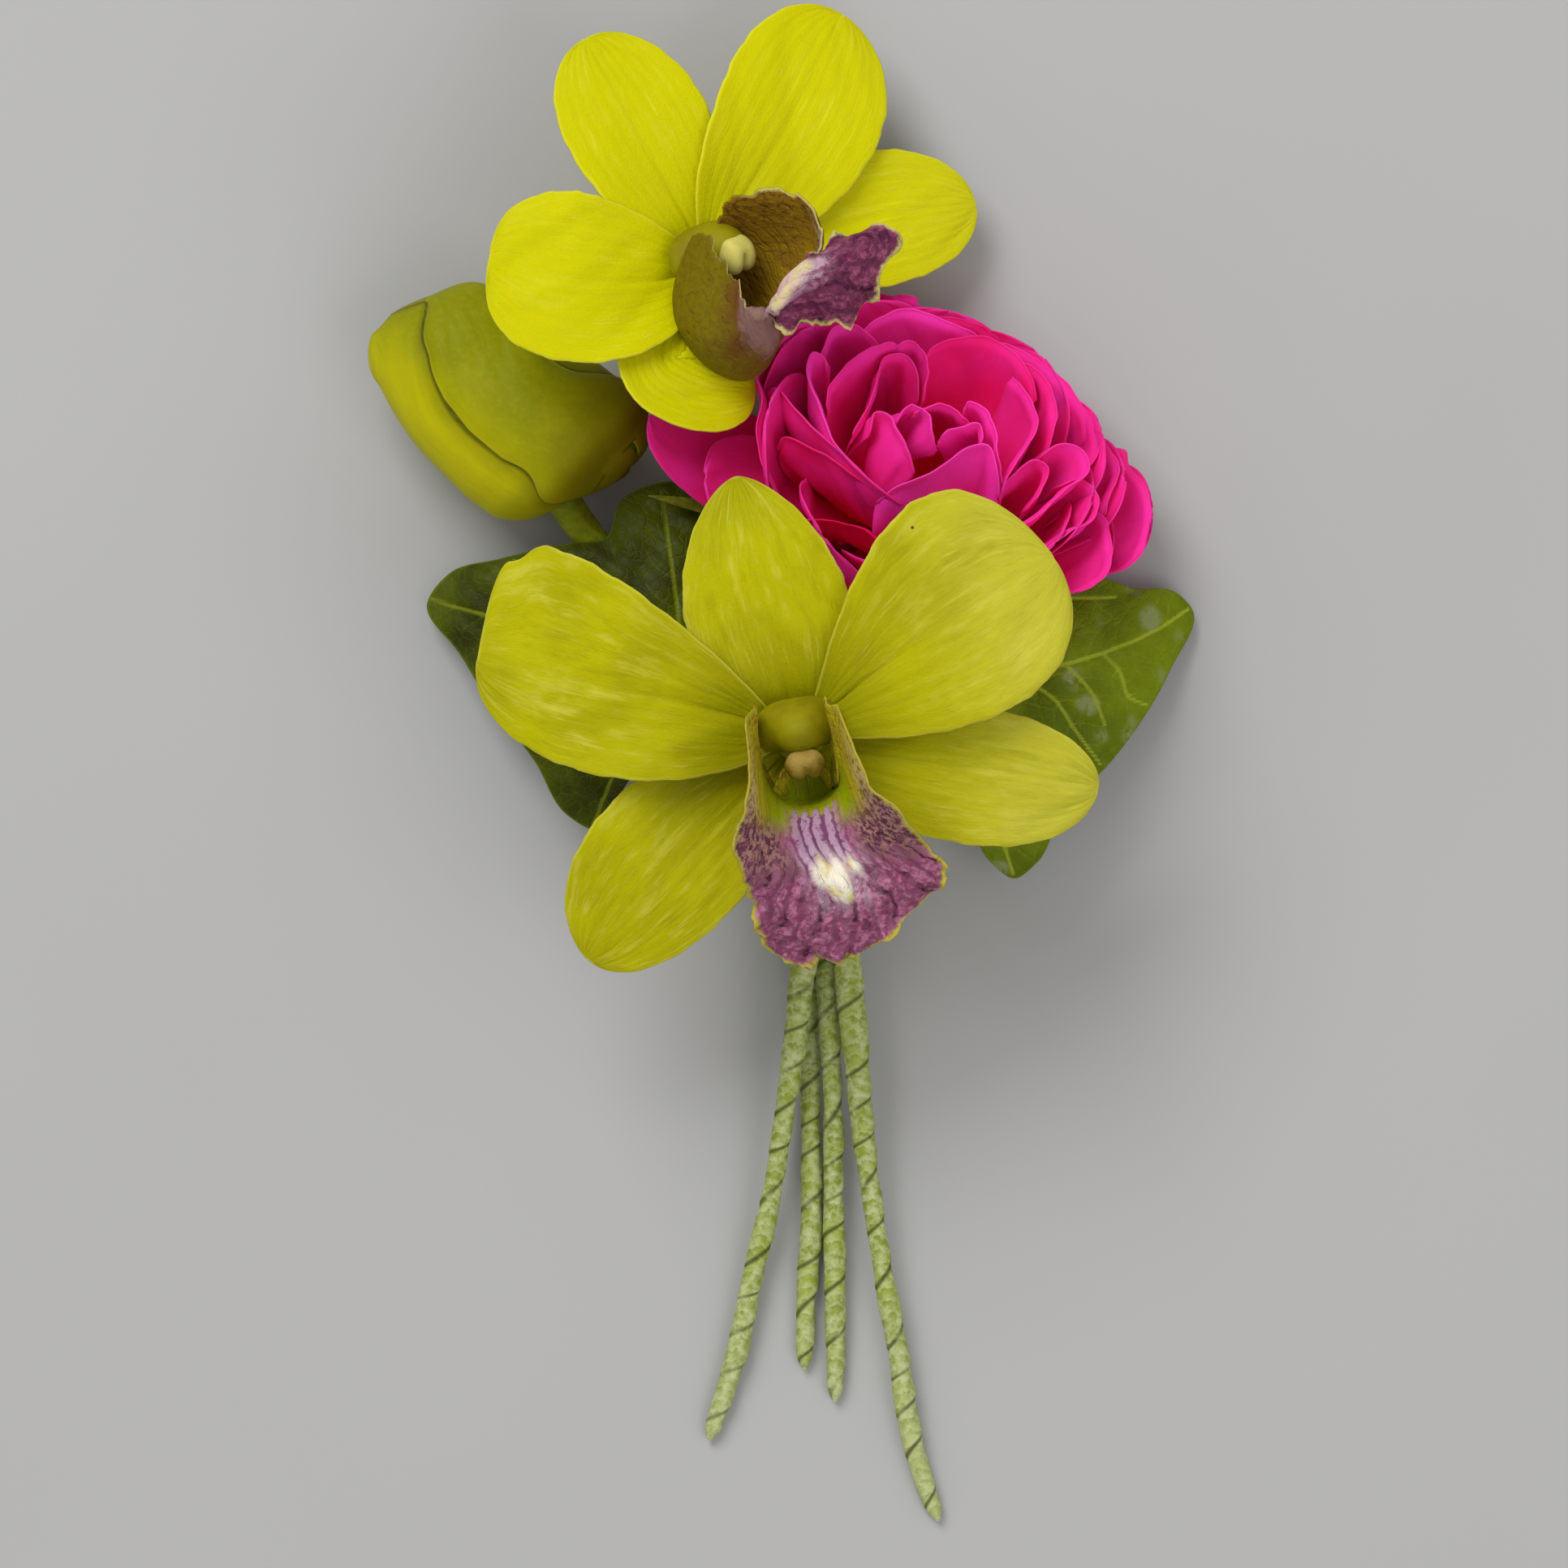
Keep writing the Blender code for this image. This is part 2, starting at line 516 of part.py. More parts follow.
# Bud. Stations from its base to its tip: X and Y of the middle, and the half-width seen from above.
BUD_STATIONS = [
    (-20.2, 32.4, 2.2), (-21.0, 33.8, 7.6), (-23.4, 36.0, 10.2), (-27.8, 39.2, 10.8), (-32.4, 43.2, 10.2),
    (-36.8, 47.3, 9.2), (-40.0, 50.4, 7.0), (-41.8, 52.0, 4.6), (-42.6, 52.9, 2.0),
]
BUD_HEIGHT, BUD_FLATNESS = 8.7, 0.77
BUD_SEPAL_THICKNESS = 0.9
BUD_ROWS, BUD_SIDES, BUD_SEPAL_COLUMNS = 7, 11, 5
# Angle round the bud, from its right edge over its top, at which each sepal starts and ends
BUD_SEPALS = {"left": (88, 250), "middle": (24, 99), "right": (-80, 34)}


def bud_surface(along, angle, proud=0.0):
    """Points of the bud's outside at shares along it and angles round it, standing proud by a distance."""
    stations = np.linspace(0, 1, len(BUD_STATIONS))
    values = smooth(stations, BUD_STATIONS, along)
    middle = np.concatenate([values[:, :2], np.full((len(along), 1), BUD_HEIGHT)], 1)
    half = np.maximum(values[:, 2], 1.0)[:, None, None] + proud
    axis = unit(np.gradient(middle, axis=0))
    right = unit(np.cross(axis, [0, 0, 1]))
    round_it = np.cos(angle)[..., None] * right[:, None] + BUD_FLATNESS * np.sin(angle)[..., None] * np.array([0, 0, 1])
    return middle[:, None] + half * round_it


def bud():
    """The half-open bud: a solid heart, three sepals laid over it and over each other, and its stalk."""
    turn = np.linspace(0, 2 * np.pi, BUD_SIDES, endpoint=False)
    along = np.linspace(0, 1, BUD_ROWS)
    points = bud_surface(along, np.tile(turn, (BUD_ROWS, 1)), -0.5)
    last = (BUD_ROWS - 1) * BUD_SIDES
    ends = [tuple(range(BUD_SIDES))[::-1], tuple(range(last, last + BUD_SIDES))]
    heart = build_mesh("heart", points.reshape(-1, 3), tube_faces(BUD_ROWS, BUD_SIDES) + ends)
    sepals = []
    for name, (start, end) in BUD_SEPALS.items():
        along = np.linspace(0.03, 0.97, BUD_ROWS)
        taper = 1 - 0.75 * np.clip((along - 0.8) / 0.2, 0, 1) ** 2
        middle, reach = np.radians((start + end) / 2), np.radians((end - start) / 2)
        share = np.linspace(-1, 1, BUD_SEPAL_COLUMNS)
        angle = middle + reach * taper[:, None] * share
        proud = 0.1 + 0.5 * (name == "middle")
        grid = bud_surface(along, angle, proud)
        sepals.append(sheet("sepal", grid, BUD_SEPAL_THICKNESS))
    stalk = flower_stalk("bud", (1.35, 1.8))
    finish(combine(heart, sepals + [stalk], "UNION"), "orchid_bud", "bud_green")


# Rose. Every petal starts at the base and leans out round the axis; angles run from the right, upwards.
ROSE_BASE, ROSE_AXIS = np.array([13.4, 27.5, 8.2]), unit([0.22, 0.49, 0.843])
ROSE_SEED = 11
# Angle, radius of the tip from the axis, height of the tip and half-width of each petal
ROSE_HEART = [
    (20, 2.2, 21.5, 4.0), (160, 2.6, 21.0, 4.2), (335, 5.0, 21.8, 5.2),
    (70, 5.4, 21.2, 5.6), (195, 5.6, 20.4, 6.4), (290, 6.8, 19.6, 7.6),
]
ROSE_CUP = [
    (240, 9.6, 19.0, 8.0), (185, 12.4, 19.2, 9.0), (138, 11.8, 20.4, 7.6), (104, 11.4, 20.2, 6.6),
    (62, 11.8, 19.8, 7.6), (25, 11.6, 19.2, 7.4), (-3, 11.4, 18.0, 6.4), (315, 10.6, 17.4, 7.6),
    (127, 16.4, 19.2, 7.6), (97, 16.7, 18.2, 9.0), (64, 16.6, 18.2, 9.4), (28, 15.4, 17.4, 8.6),
    (7, 17.0, 16.6, 6.8), (-8, 17.8, 14.8, 7.0), (330, 16.0, 14.0, 8.0), (300, 15.0, 14.0, 8.6),
    (265, 14.6, 13.4, 8.8), (200, 14.2, 17.0, 8.6), (222, 16.0, 13.2, 9.0),
]
ROSE_OUTSIDE = [
    (172, 19.0, 17.2, 8.4), (142, 20.2, 16.6, 8.0), (112, 20.4, 15.2, 8.6), (84, 19.8, 14.4, 9.4),
    (52, 19.4, 14.8, 9.6), (17, 19.8, 15.0, 7.6), (6, 22.2, 12.6, 7.6), (2, 26.6, 8.2, 8.6),
    (-14, 22.2, 8.2, 7.8), (320, 19.0, 7.0, 9.4), (245, 19.0, 8.0, 9.6),
    (169, 31.0, 8.0, 6.4), (183, 24.0, 7.4, 7.4), (62, 22.5, 5.8, 8.6),
]
CALYX_LENGTH = 4.2
CALYX_SEPALS = (178, 250, 322, 34, 106)


def rose_frame():
    """Two directions across the rose's axis: to the right, and up the layout."""
    right = unit(SIDEWAYS - np.dot(SIDEWAYS, ROSE_AXIS) * ROSE_AXIS)
    return right, np.cross(ROSE_AXIS, right)


def rose_point(angle, radius, height):
    """Point at an angle round the rose's axis, a radius from it and a height up it."""
    right, up = rose_frame()
    outward = np.cos(angle) * right + np.sin(angle) * up
    return ROSE_BASE + radius * outward + height * ROSE_AXIS


def rose_petal(angle, tip_radius, tip_height, half, twist, wave):
    """Grid of one petal: its spine runs from the base over a belly to the tip, and it cups round the axis."""
    belly_radius, belly_height = 0.6 * tip_radius + 3.0, 0.36 * tip_height
    profile = [
        (0.8, 0.4), (0.62 * belly_radius, 0.3 * belly_height), (belly_radius, belly_height),
        (0.3 * belly_radius + 0.7 * tip_radius + 0.6, 0.3 * belly_height + 0.7 * tip_height),
        (tip_radius, tip_height),
    ]
    spine = [rose_point(angle, radius, height) for radius, height in profile]
    inward = rose_point(angle, 0, 0) - rose_point(angle, 1, 0)
    cup = min(1.35, 0.8 * half / belly_radius)
    return blade(
        spine, inward, (half, half), (0.75, 0.75), (0.34, 0.34), (cup * 1.2, cup * 0.8), twist, wave, 3.0,
        ROSE_ROWS, ROSE_COLUMNS,
    )


def rose():
    """The rose's petals, fused at the base, and its calyx with hip, five sepals and stalk."""
    draw = np.random.RandomState(ROSE_SEED)
    petals = []
    for degrees, tip_radius, tip_height, half in ROSE_HEART + ROSE_CUP + ROSE_OUTSIDE:
        twist, wave = 0.12 + draw.uniform(-0.06, 0.06), draw.uniform(0.2, 0.8)
        grid = rose_petal(np.radians(degrees), tip_radius, tip_height, half, twist, wave)
        petals.append(sheet("petal", grid, ROSE_THICKNESS))
    core = ball("core", rose_point(0, 0, 2.0), (3.4, 3.4, 3.4))
    finish(combine(core, petals, "UNION"), "rose_petals", "rose_pink")
    calyx()


def calyx():
    """The green hip under the petals with five pointed sepals and the stalk."""
    hip_centre = rose_point(0, 0, -4.4)
    hip = ball("hip", hip_centre, (2.3, 2.3, 2.3))
    sepals = []
    for degrees in CALYX_SEPALS:
        angle = np.radians(degrees)
        length = 29.0 if degrees == 178 else 11.0
        profile = [(0.6, -4.0), (length * 0.35, -3.4), (length * 0.7, -2.4), (length, -1.4)]
        spine = [rose_point(angle, radius, height) for radius, height in profile]
        grid = blade(spine, ROSE_AXIS, (1.7, 1.7), (0.35, 0.35), (0.8, 0.8), (0.4, 0.6), rows=5, columns=3)
        sepals.append(sheet("sepal", grid, 0.7))
    stalk = flower_stalk("rose", (1.4, 1.6), 4)
    finish(combine(hip, sepals + [stalk], "UNION"), "rose_calyx", "calyx_green")


# Ivy. Each outline is a closed loop of X and Y round the point where the stalk meets the blade.
LEFT_LEAF_OUTLINE = [
    (-40.4, 19.0), (-37.8, 22.4), (-32.0, 24.0), (-24.0, 25.7), (-20.0, 26.3), (-18.4, 30.4), (-15.6, 32.1),
    (-10.6, 32.4), (-7.6, 27.0), (-5.4, 19.5), (-2.6, 12.5), (-4.6, 6.0), (-11.0, 3.2), (-17.0, -0.6),
    (-21.4, -6.6), (-24.6, -4.8), (-28.0, 1.0), (-32.8, 7.2), (-36.6, 13.2),
]
RIGHT_LEAF_OUTLINE = [
    (46.2, 18.4), (44.4, 20.2), (39.6, 20.7), (34.6, 22.2), (29.6, 23.0), (26.0, 20.5), (20.0, 18.2),
    (13.6, 14.2), (11.6, 8.0), (14.4, 1.6), (20.4, -5.4), (23.4, -10.4), (26.0, -12.1), (28.4, -10.4),
    (31.6, -4.0), (36.4, 0.6), (40.4, 5.8), (43.6, 11.4),
]
# Outline, junction of blade and stalk, fall towards the tips, and the stalk's route down into the binding
LEAVES = {
    "left": (
        LEFT_LEAF_OUTLINE, (-11.3, 12.2, 11.2), 0.0100,
        [(-11.3, 12.2, 11.0), (-8.2, 6.8, 10.6), (-4.2, -1.0, 9.0), (-0.6, -6.6, 7.0), (0.7, -10.0, 6.5),
         (0.75, -14.5, 6.4)]),
    "right": (
        RIGHT_LEAF_OUTLINE, (17.9, 8.3, 12.0), 0.0115,
        [(17.9, 8.3, 11.8), (14.0, 3.6, 11.4), (11.2, -2.4, 8.6), (9.2, -7.4, 5.8), (8.7, -11.0, 5.3),
         (8.7, -14.5, 5.3)]),
}
LEAF_RINGS, LEAF_SPOKES = 3, 24
LEAF_STALK_RADIUS = 0.6


def leaf_height(x, y, junction, fall):
    """Height of a leaf's middle surface: highest at the stalk, falling as the square of the distance."""
    distance = (x - junction[0]) ** 2 + (y - junction[1]) ** 2
    return junction[2] - fall * distance


def leaf(side):
    """An ivy leaf: rings of points from the stalk's junction out to the lobed outline, made a thin solid."""
    outline, junction, fall, stalk_route = LEAVES[side]
    loop = np.array(outline + outline[:1], float)
    stations = chord_stations(loop)
    # The loop is run three times so that the curve closes as smoothly as it runs
    closed = np.concatenate([loop[:-1], loop[:-1], loop])
    turns = np.concatenate([stations[:-1] - stations[-1], stations[:-1], stations + stations[-1]])
    edge = smooth(turns, closed, np.linspace(0, stations[-1], LEAF_SPOKES, endpoint=False))
    shares = np.linspace(1, 0, LEAF_RINGS, endpoint=False)[::-1]
    plan = np.array(junction[:2]) + shares[:, None, None] * (edge - np.array(junction[:2]))
    height = leaf_height(plan[..., 0], plan[..., 1], junction, fall)
    middle = np.concatenate([plan, height[..., None]], -1).reshape(-1, 3)
    half = np.array([0, 0, LEAF_THICKNESS / 2])
    top = np.concatenate([middle, [junction]]) + half
    points = np.concatenate([top, top - 2 * half])
    count, last = len(top), (LEAF_RINGS - 1) * LEAF_SPOKES
    centre = count - 1
    upper = tube_faces(LEAF_RINGS, LEAF_SPOKES)
    upper = [t for f in upper for t in ((f[0], f[1], f[2]), (f[0], f[2], f[3]))]
    upper += [(centre, (k + 1) % LEAF_SPOKES, k) for k in range(LEAF_SPOKES)]
    lower = [tuple(i + count for i in f[::-1]) for f in upper]
    rim = []
    for k in range(LEAF_SPOKES):
        a, b = last + k, last + (k + 1) % LEAF_SPOKES
        rim.append((a, b, b + count, a + count))
    blade_solid = build_mesh("leaf", points, upper + lower + rim)
    length = chord_stations(stalk_route)[-1]
    stalk = tube("stalk", route(stalk_route, 0, length, 9), LEAF_STALK_RADIUS, 6, SIDEWAYS)
    finish(combine(blade_solid, [stalk], "UNION"), f"ivy_leaf_{side}", "ivy_green")


def main():
    for obj in list(bpy.data.objects):
        bpy.data.objects.remove(obj)
    for flower in STEMS:
        stem(flower)
    binding()
    orchid("front_orchid", FRONT_CENTRE, FRONT_NORMAL, FRONT_TEPALS, FRONT_LIP, 1.0)
    orchid("back_orchid", BACK_CENTRE, BACK_NORMAL, BACK_TEPALS, BACK_LIP, 1.0)
    bud()
    rose()
    for side in LEAVES:
        leaf(side)


main()
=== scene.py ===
"""The looks of a small posy lying on its back: two green orchids, an orchid bud, a pink rose and ivy leaves.

Every grown or wrapped piece is a finer surface of the same form as the solid that it stands for. Sizes are in
millimetres, in a layout whose X and Y are those of the posy seen from straight above and whose Z is the
height above the surface it lies on. piece() turns them into the part's own frame, in metres.
"""

import json

import bpy
import numpy as np
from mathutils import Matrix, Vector

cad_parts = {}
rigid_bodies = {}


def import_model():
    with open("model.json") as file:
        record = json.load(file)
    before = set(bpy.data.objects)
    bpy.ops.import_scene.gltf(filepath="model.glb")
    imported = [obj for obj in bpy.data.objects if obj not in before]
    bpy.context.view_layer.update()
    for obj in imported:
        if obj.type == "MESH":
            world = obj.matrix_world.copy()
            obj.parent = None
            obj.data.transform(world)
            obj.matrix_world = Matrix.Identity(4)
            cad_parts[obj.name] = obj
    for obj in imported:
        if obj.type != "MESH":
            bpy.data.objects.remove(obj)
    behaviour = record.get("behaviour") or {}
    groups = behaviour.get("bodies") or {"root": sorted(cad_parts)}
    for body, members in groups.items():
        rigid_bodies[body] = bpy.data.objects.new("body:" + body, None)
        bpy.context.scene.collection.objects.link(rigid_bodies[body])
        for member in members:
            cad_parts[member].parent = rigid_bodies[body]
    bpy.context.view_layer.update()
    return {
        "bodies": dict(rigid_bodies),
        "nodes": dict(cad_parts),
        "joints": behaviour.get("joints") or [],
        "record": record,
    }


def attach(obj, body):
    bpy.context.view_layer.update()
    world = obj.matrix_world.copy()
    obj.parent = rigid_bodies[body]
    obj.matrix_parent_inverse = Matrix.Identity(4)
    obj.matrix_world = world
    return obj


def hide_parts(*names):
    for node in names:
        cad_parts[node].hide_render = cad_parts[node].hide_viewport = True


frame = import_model()

MM = 0.001
LAYOUT_CENTRE = np.array([0.341, 0.517, 0.0])
SIDEWAYS = np.array([1.0, 0.0, 0.0])
UPWARDS = np.array([0.0, 0.0, 1.0])

# The picture: the layout point at its middle, the width that it takes in, and the height of that plane
PICTURE_MIDDLE, PICTURE_WIDTH, PICTURE_PLANE = (0.0, -1.44), 173.9, 22.0
LENS, SENSOR = 200.0, 36.0


# Curves and grids of points

def unit(vectors):
    """The vectors scaled to length 1."""
    vectors = np.asarray(vectors, float)
    return vectors / np.linalg.norm(vectors, axis=-1, keepdims=True)


def smooth(stations, values, at):
    """Cubic Hermite curve through the values at their stations, with slopes from their neighbours."""
    stations = np.asarray(stations, float)
    values = np.asarray(values, float)
    slopes = np.gradient(values, stations, axis=0)
    k = np.clip(np.searchsorted(stations, at, side="right") - 1, 0, len(stations) - 2)
    span = stations[k + 1] - stations[k]
    t = (at - stations[k]) / span
    if values.ndim > 1:
        t, span = t[:, None], span[:, None]
    start = (2 * t**3 - 3 * t**2 + 1) * values[k] + (t**3 - 2 * t**2 + t) * span * slopes[k]
    end = (3 * t**2 - 2 * t**3) * values[k + 1] + (t**3 - t**2) * span * slopes[k + 1]
    return start + end


def chord_stations(points):
    """Running length along the straight lines between the points."""
    steps = np.linalg.norm(np.diff(np.asarray(points, float), axis=0), axis=1)
    return np.concatenate([[0.0], np.cumsum(steps)])


def route(points, start, end, count):
    """Points at equal steps along the smooth curve through points, from start to end as running lengths."""
    return smooth(chord_stations(points), points, np.linspace(start, end, count))


def hill(x, middle, width):
    """A bell of height 1 round the middle: e to the minus ((x - middle) / width) squared."""
    return np.exp(-(((x - middle) / width) ** 2))


def ease(x, low, high):
    """0 at low, 1 at high, and 3 t^2 - 2 t^3 between."""
    t = np.clip((x - low) / (high - low), 0, 1)
    return t * t * (3 - 2 * t)


def ripple(x, seed, waves, octaves=3):
    """A wavy line between about -1 and 1: sines of rising pitch, with seeded phases, each half as high."""
    phases = np.random.RandomState(seed).uniform(0, 2 * np.pi, octaves)
    total = sum(np.sin(2 * np.pi * waves * 1.9**k * x + phases[k]) / 2**k for k in range(octaves))
    return total / 1.6


def normals(grid):
    """Unit normals of a grid of points."""
    return unit(np.cross(np.gradient(grid, axis=1), np.gradient(grid, axis=0)) + 1e-12)


def blade_outline(u, rise, fall):
    """Share of the full half-width at u along a blade: u^rise (1-u)^fall, scaled to 1 where it is widest."""
    widest = rise / (rise + fall)
    peak = widest**rise * (1 - widest) ** fall
    return u**rise * (1 - u) ** fall / peak


BLADE_START, BLADE_END = 0.015, 0.985


def blade(
    spine, facing, halves, rise, fall, bend, twist=0.0, wave=0.0, waves=2.0, rows=72, columns=49,
    dents=(), recurve=0.0, seed=1,
):
    """Grid of points of a petal, sepal or other blade, and the places on it that its colours follow.

    The rows follow the smooth spine, closer together at the rounded tip. Across each row the blade is an arc
    of the half-width's length that turns through bend towards the facing side, from the base's bend to the
    tip's. halves are the half-widths to the left and right of the spine, rise and fall shape the outline on
    each of these sides, twist turns the rows round the spine, and wave lifts the edges up and down. Each
    dent is a side, a share along the blade, a length and a depth by which that side's edge is drawn in.
    recurve rolls the last third of the blade back, as the square of the way along it.
    """
    s = np.linspace(BLADE_START, BLADE_END, rows)
    u = 1 - (1 - s) ** 2
    spine = np.asarray(spine, float)
    stations = chord_stations(spine)
    centre = smooth(stations / stations[-1], spine, u)
    along = unit(np.gradient(centre, u, axis=0))
    side = unit(np.cross(along, facing))
    up = np.cross(side, along)
    turn = np.full(rows, twist)[:, None]
    side, up = side * np.cos(turn) + up * np.sin(turn), up * np.cos(turn) - side * np.sin(turn)
    v = np.linspace(-1, 1, columns)[None, :]
    left = halves[0] * blade_outline(u, rise[0], fall[0])[:, None]
    right = halves[1] * blade_outline(u, rise[1], fall[1])[:, None]
    for where, middle, width, depth in dents:
        if where < 0:
            left = left - depth * hill(u, middle, width)[:, None]
        else:
            right = right - depth * hill(u, middle, width)[:, None]
    half = np.where(v < 0, left, right)
    half = half * (1 + 0.012 * ripple(u, seed, 7.0)[:, None])
    angle = (bend[0] * (1 - u) + bend[1] * u)[:, None] + 1e-6
    across = half * np.sin(angle * v) / angle
    lift = half * (1 - np.cos(angle * v)) / angle
    lift = lift + wave * v**2 * np.sin(np.pi * waves * u[:, None] + 1.3 * np.sign(v)) * half / max(halves)
    lift = lift - recurve * ease(u, 0.6, 1.1)[:, None] ** 2 * (0.6 + 0.4 * v**2)
    grid = centre[:, None] + across[..., None] * side[:, None] + lift[..., None] * up[:, None]
    to_tip = stations[-1] * (1 - u)[:, None]
    edge = np.minimum(half * (1 - np.abs(v)), to_tip + 0 * v)
    places = {"along": u[:, None] + 0 * v, "across": v + 0 * u[:, None], "edge": edge}
    return grid, places


# Shells: a shell is its points, a list of arrays of faces, and the places that its colours follow

def grid_faces(rows, columns, wrap=False, first=0):
    """Quads of a grid of points in rows; wrap joins the last column to the first."""
    index = first + np.arange(rows * columns).reshape(rows, columns)
    if wrap:
        index = np.concatenate([index, index[:, :1]], axis=1)
    corners = [index[:-1, :-1], index[1:, :-1], index[1:, 1:], index[:-1, 1:]]
    return np.stack(corners, -1).reshape(-1, 4)


def outward(points, faces):
    """The faces, turned round if they enclose the points inside out."""
    volume = 0.0
    for group in faces:
        for k in range(1, group.shape[1] - 1):
            a, b, c = points[group[:, 0]], points[group[:, k]], points[group[:, k + 1]]
            volume += np.einsum("ij,ij->i", a, np.cross(b, c)).sum()
    return faces if volume > 0 else [group[:, ::-1] for group in faces]


def sheet(grid, thickness, places):
    """A closed thin shell: the grid moved half the thickness to each side, and a rim between the two."""
    rows, columns = grid.shape[:2]
    half = normals(grid) * np.broadcast_to(thickness, (rows, columns))[..., None] / 2
    points = np.concatenate([grid + half, grid - half]).reshape(-1, 3)
    index = np.arange(rows * columns).reshape(rows, columns)
    loop = np.concatenate([index[0], index[1:, -1], index[-1, -2::-1], index[-2:0:-1, 0]])
    ahead = np.roll(loop, -1)
    below = rows * columns
    top = grid_faces(rows, columns)
    rim = np.stack([loop, ahead, ahead + below, loop + below], 1)
    faces = [np.concatenate([top, top[:, ::-1] + below, rim])]
    # The front is the side that the normals point to
    front = np.concatenate([np.ones(below), np.zeros(below)])
    doubled = {name: np.concatenate([field.ravel()] * 2) for name, field in places.items()}
    doubled["front"] = front
    return points, outward(points, faces), doubled


def rings(path, radii, sides, reference, flatten=1.0):
    """Rings of points round a path, each square to it. reference is a direction that the path never takes."""
    along = unit(np.gradient(path, axis=0))
    side = unit(np.cross(along, reference))
    up = np.cross(side, along)
    angle = np.linspace(0, 2 * np.pi, sides, endpoint=False)[None, :, None]
    radii = np.asarray(radii, float)
    radii = radii[:, None, None] if radii.ndim == 1 else radii[..., None]
    return path[:, None] + radii * (np.cos(angle) * side[:, None] + flatten * np.sin(angle) * up[:, None])


def closed_tube(grid, places):
    """A closed shell from rings of points, with a middle point on each end."""
    rows, columns = grid.shape[:2]
    points = np.concatenate([grid.reshape(-1, 3), grid[:1].mean(1), grid[-1:].mean(1)])
    ring = np.arange(columns)
    ahead = np.roll(ring, -1)
    last = (rows - 1) * columns
    start = np.stack([np.full(columns, rows * columns), ahead, ring], 1)
    end = np.stack([np.full(columns, rows * columns + 1), last + ring, last + ahead], 1)
    faces = [grid_faces(rows, columns, wrap=True)[:, ::-1], start[:, ::-1], end[:, ::-1]]
    ends = {name: np.append(field.ravel(), [field[0].mean(), field[-1].mean()]) for name, field in places.items()}
    return points, outward(points, faces), ends


def ball(centre, radii, columns=48, rows=32):
    """Rings of points of an ellipsoid with its poles along Z."""
    tilt = np.linspace(0.02, np.pi - 0.02, rows)[:, None]
    turn = np.linspace(0, 2 * np.pi, columns, endpoint=False)[None, :]
    sphere = np.stack([np.sin(tilt) * np.cos(turn), np.sin(tilt) * np.sin(turn), np.cos(tilt) + 0 * turn], -1)
    return np.asarray(centre) + sphere * np.asarray(radii)


def grid_places(grid):
    """Shares along and across a grid of points."""
    rows, columns = grid.shape[:2]
    along, across = np.meshgrid(np.linspace(0, 1, rows), np.linspace(0, 1, columns), indexing="ij")
    return {"along": along, "across": across}


def piece(name, shells, material, slot, *nodes):
    """One mesh object of the shells, in the part's frame, riding on the part and standing for the nodes."""
    points = np.concatenate([shell[0] for shell in shells])
    starts = np.cumsum([0] + [len(shell[0]) for shell in shells[:-1]])
    faces = []
    for start, shell in zip(starts, shells):
        for group in shell[1]:
            faces += (group + start).tolist()
    mesh = bpy.data.meshes.new(name)
    mesh.from_pydata(((points - LAYOUT_CENTRE) * MM).tolist(), [], faces)
    for place in shells[0][2]:
        values = np.concatenate([shell[2][place] for shell in shells]).astype(np.float32)
        mesh.attributes.new(place, "FLOAT", "POINT").data.foreach_set("value", values)
    mesh.shade_smooth()
    mesh.materials.append(material)
    obj = bpy.data.objects.new(name, mesh)
    bpy.context.scene.collection.objects.link(obj)
    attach(obj, "root")
    if nodes:
        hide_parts(*nodes)
    return obj


# Materials

def tint(code, share=1.0):
    """Linear colour of a six-figure sRGB code, made darker by the share."""
    levels = np.array([int(code[k:k + 2], 16) / 255 for k in (0, 2, 4)])
    linear = np.where(levels <= 0.04045, levels / 12.92, ((levels + 0.055) / 1.055) ** 2.4)
    return (*(linear * share), 1.0)


class Term:
    """One output of a material's nodes. Arithmetic on it adds Math nodes."""

    def __init__(self, paint, socket):
        self.paint = paint
        self.socket = socket

    def math(self, operation, *values):
        return self.paint.node("ShaderNodeMath", {"operation": operation}, values)

    def __add__(self, other):
        return self.math("ADD", self, other)

    def __sub__(self, other):
        return self.math("SUBTRACT", self, other)

    def __rsub__(self, other):
        return self.math("SUBTRACT", other, self)

    def __mul__(self, other):
        return self.math("MULTIPLY", self, other)

    __radd__ = __add__
    __rmul__ = __mul__

    def size(self):
        """The term without its sign."""
        return self.math("ABSOLUTE", self)

    def wave(self):
        """The sine of the term, brought to between 0 and 1."""
        return self.math("SINE", self) * 0.5 + 0.5

    def rise(self, low, high):
        """0 at low, 1 at high and smooth between; low may be the greater."""
        settings = {"interpolation_type": "SMOOTHSTEP"}
        return self.paint.node("ShaderNodeMapRange", settings, [self, low, high, 0.0, 1.0])


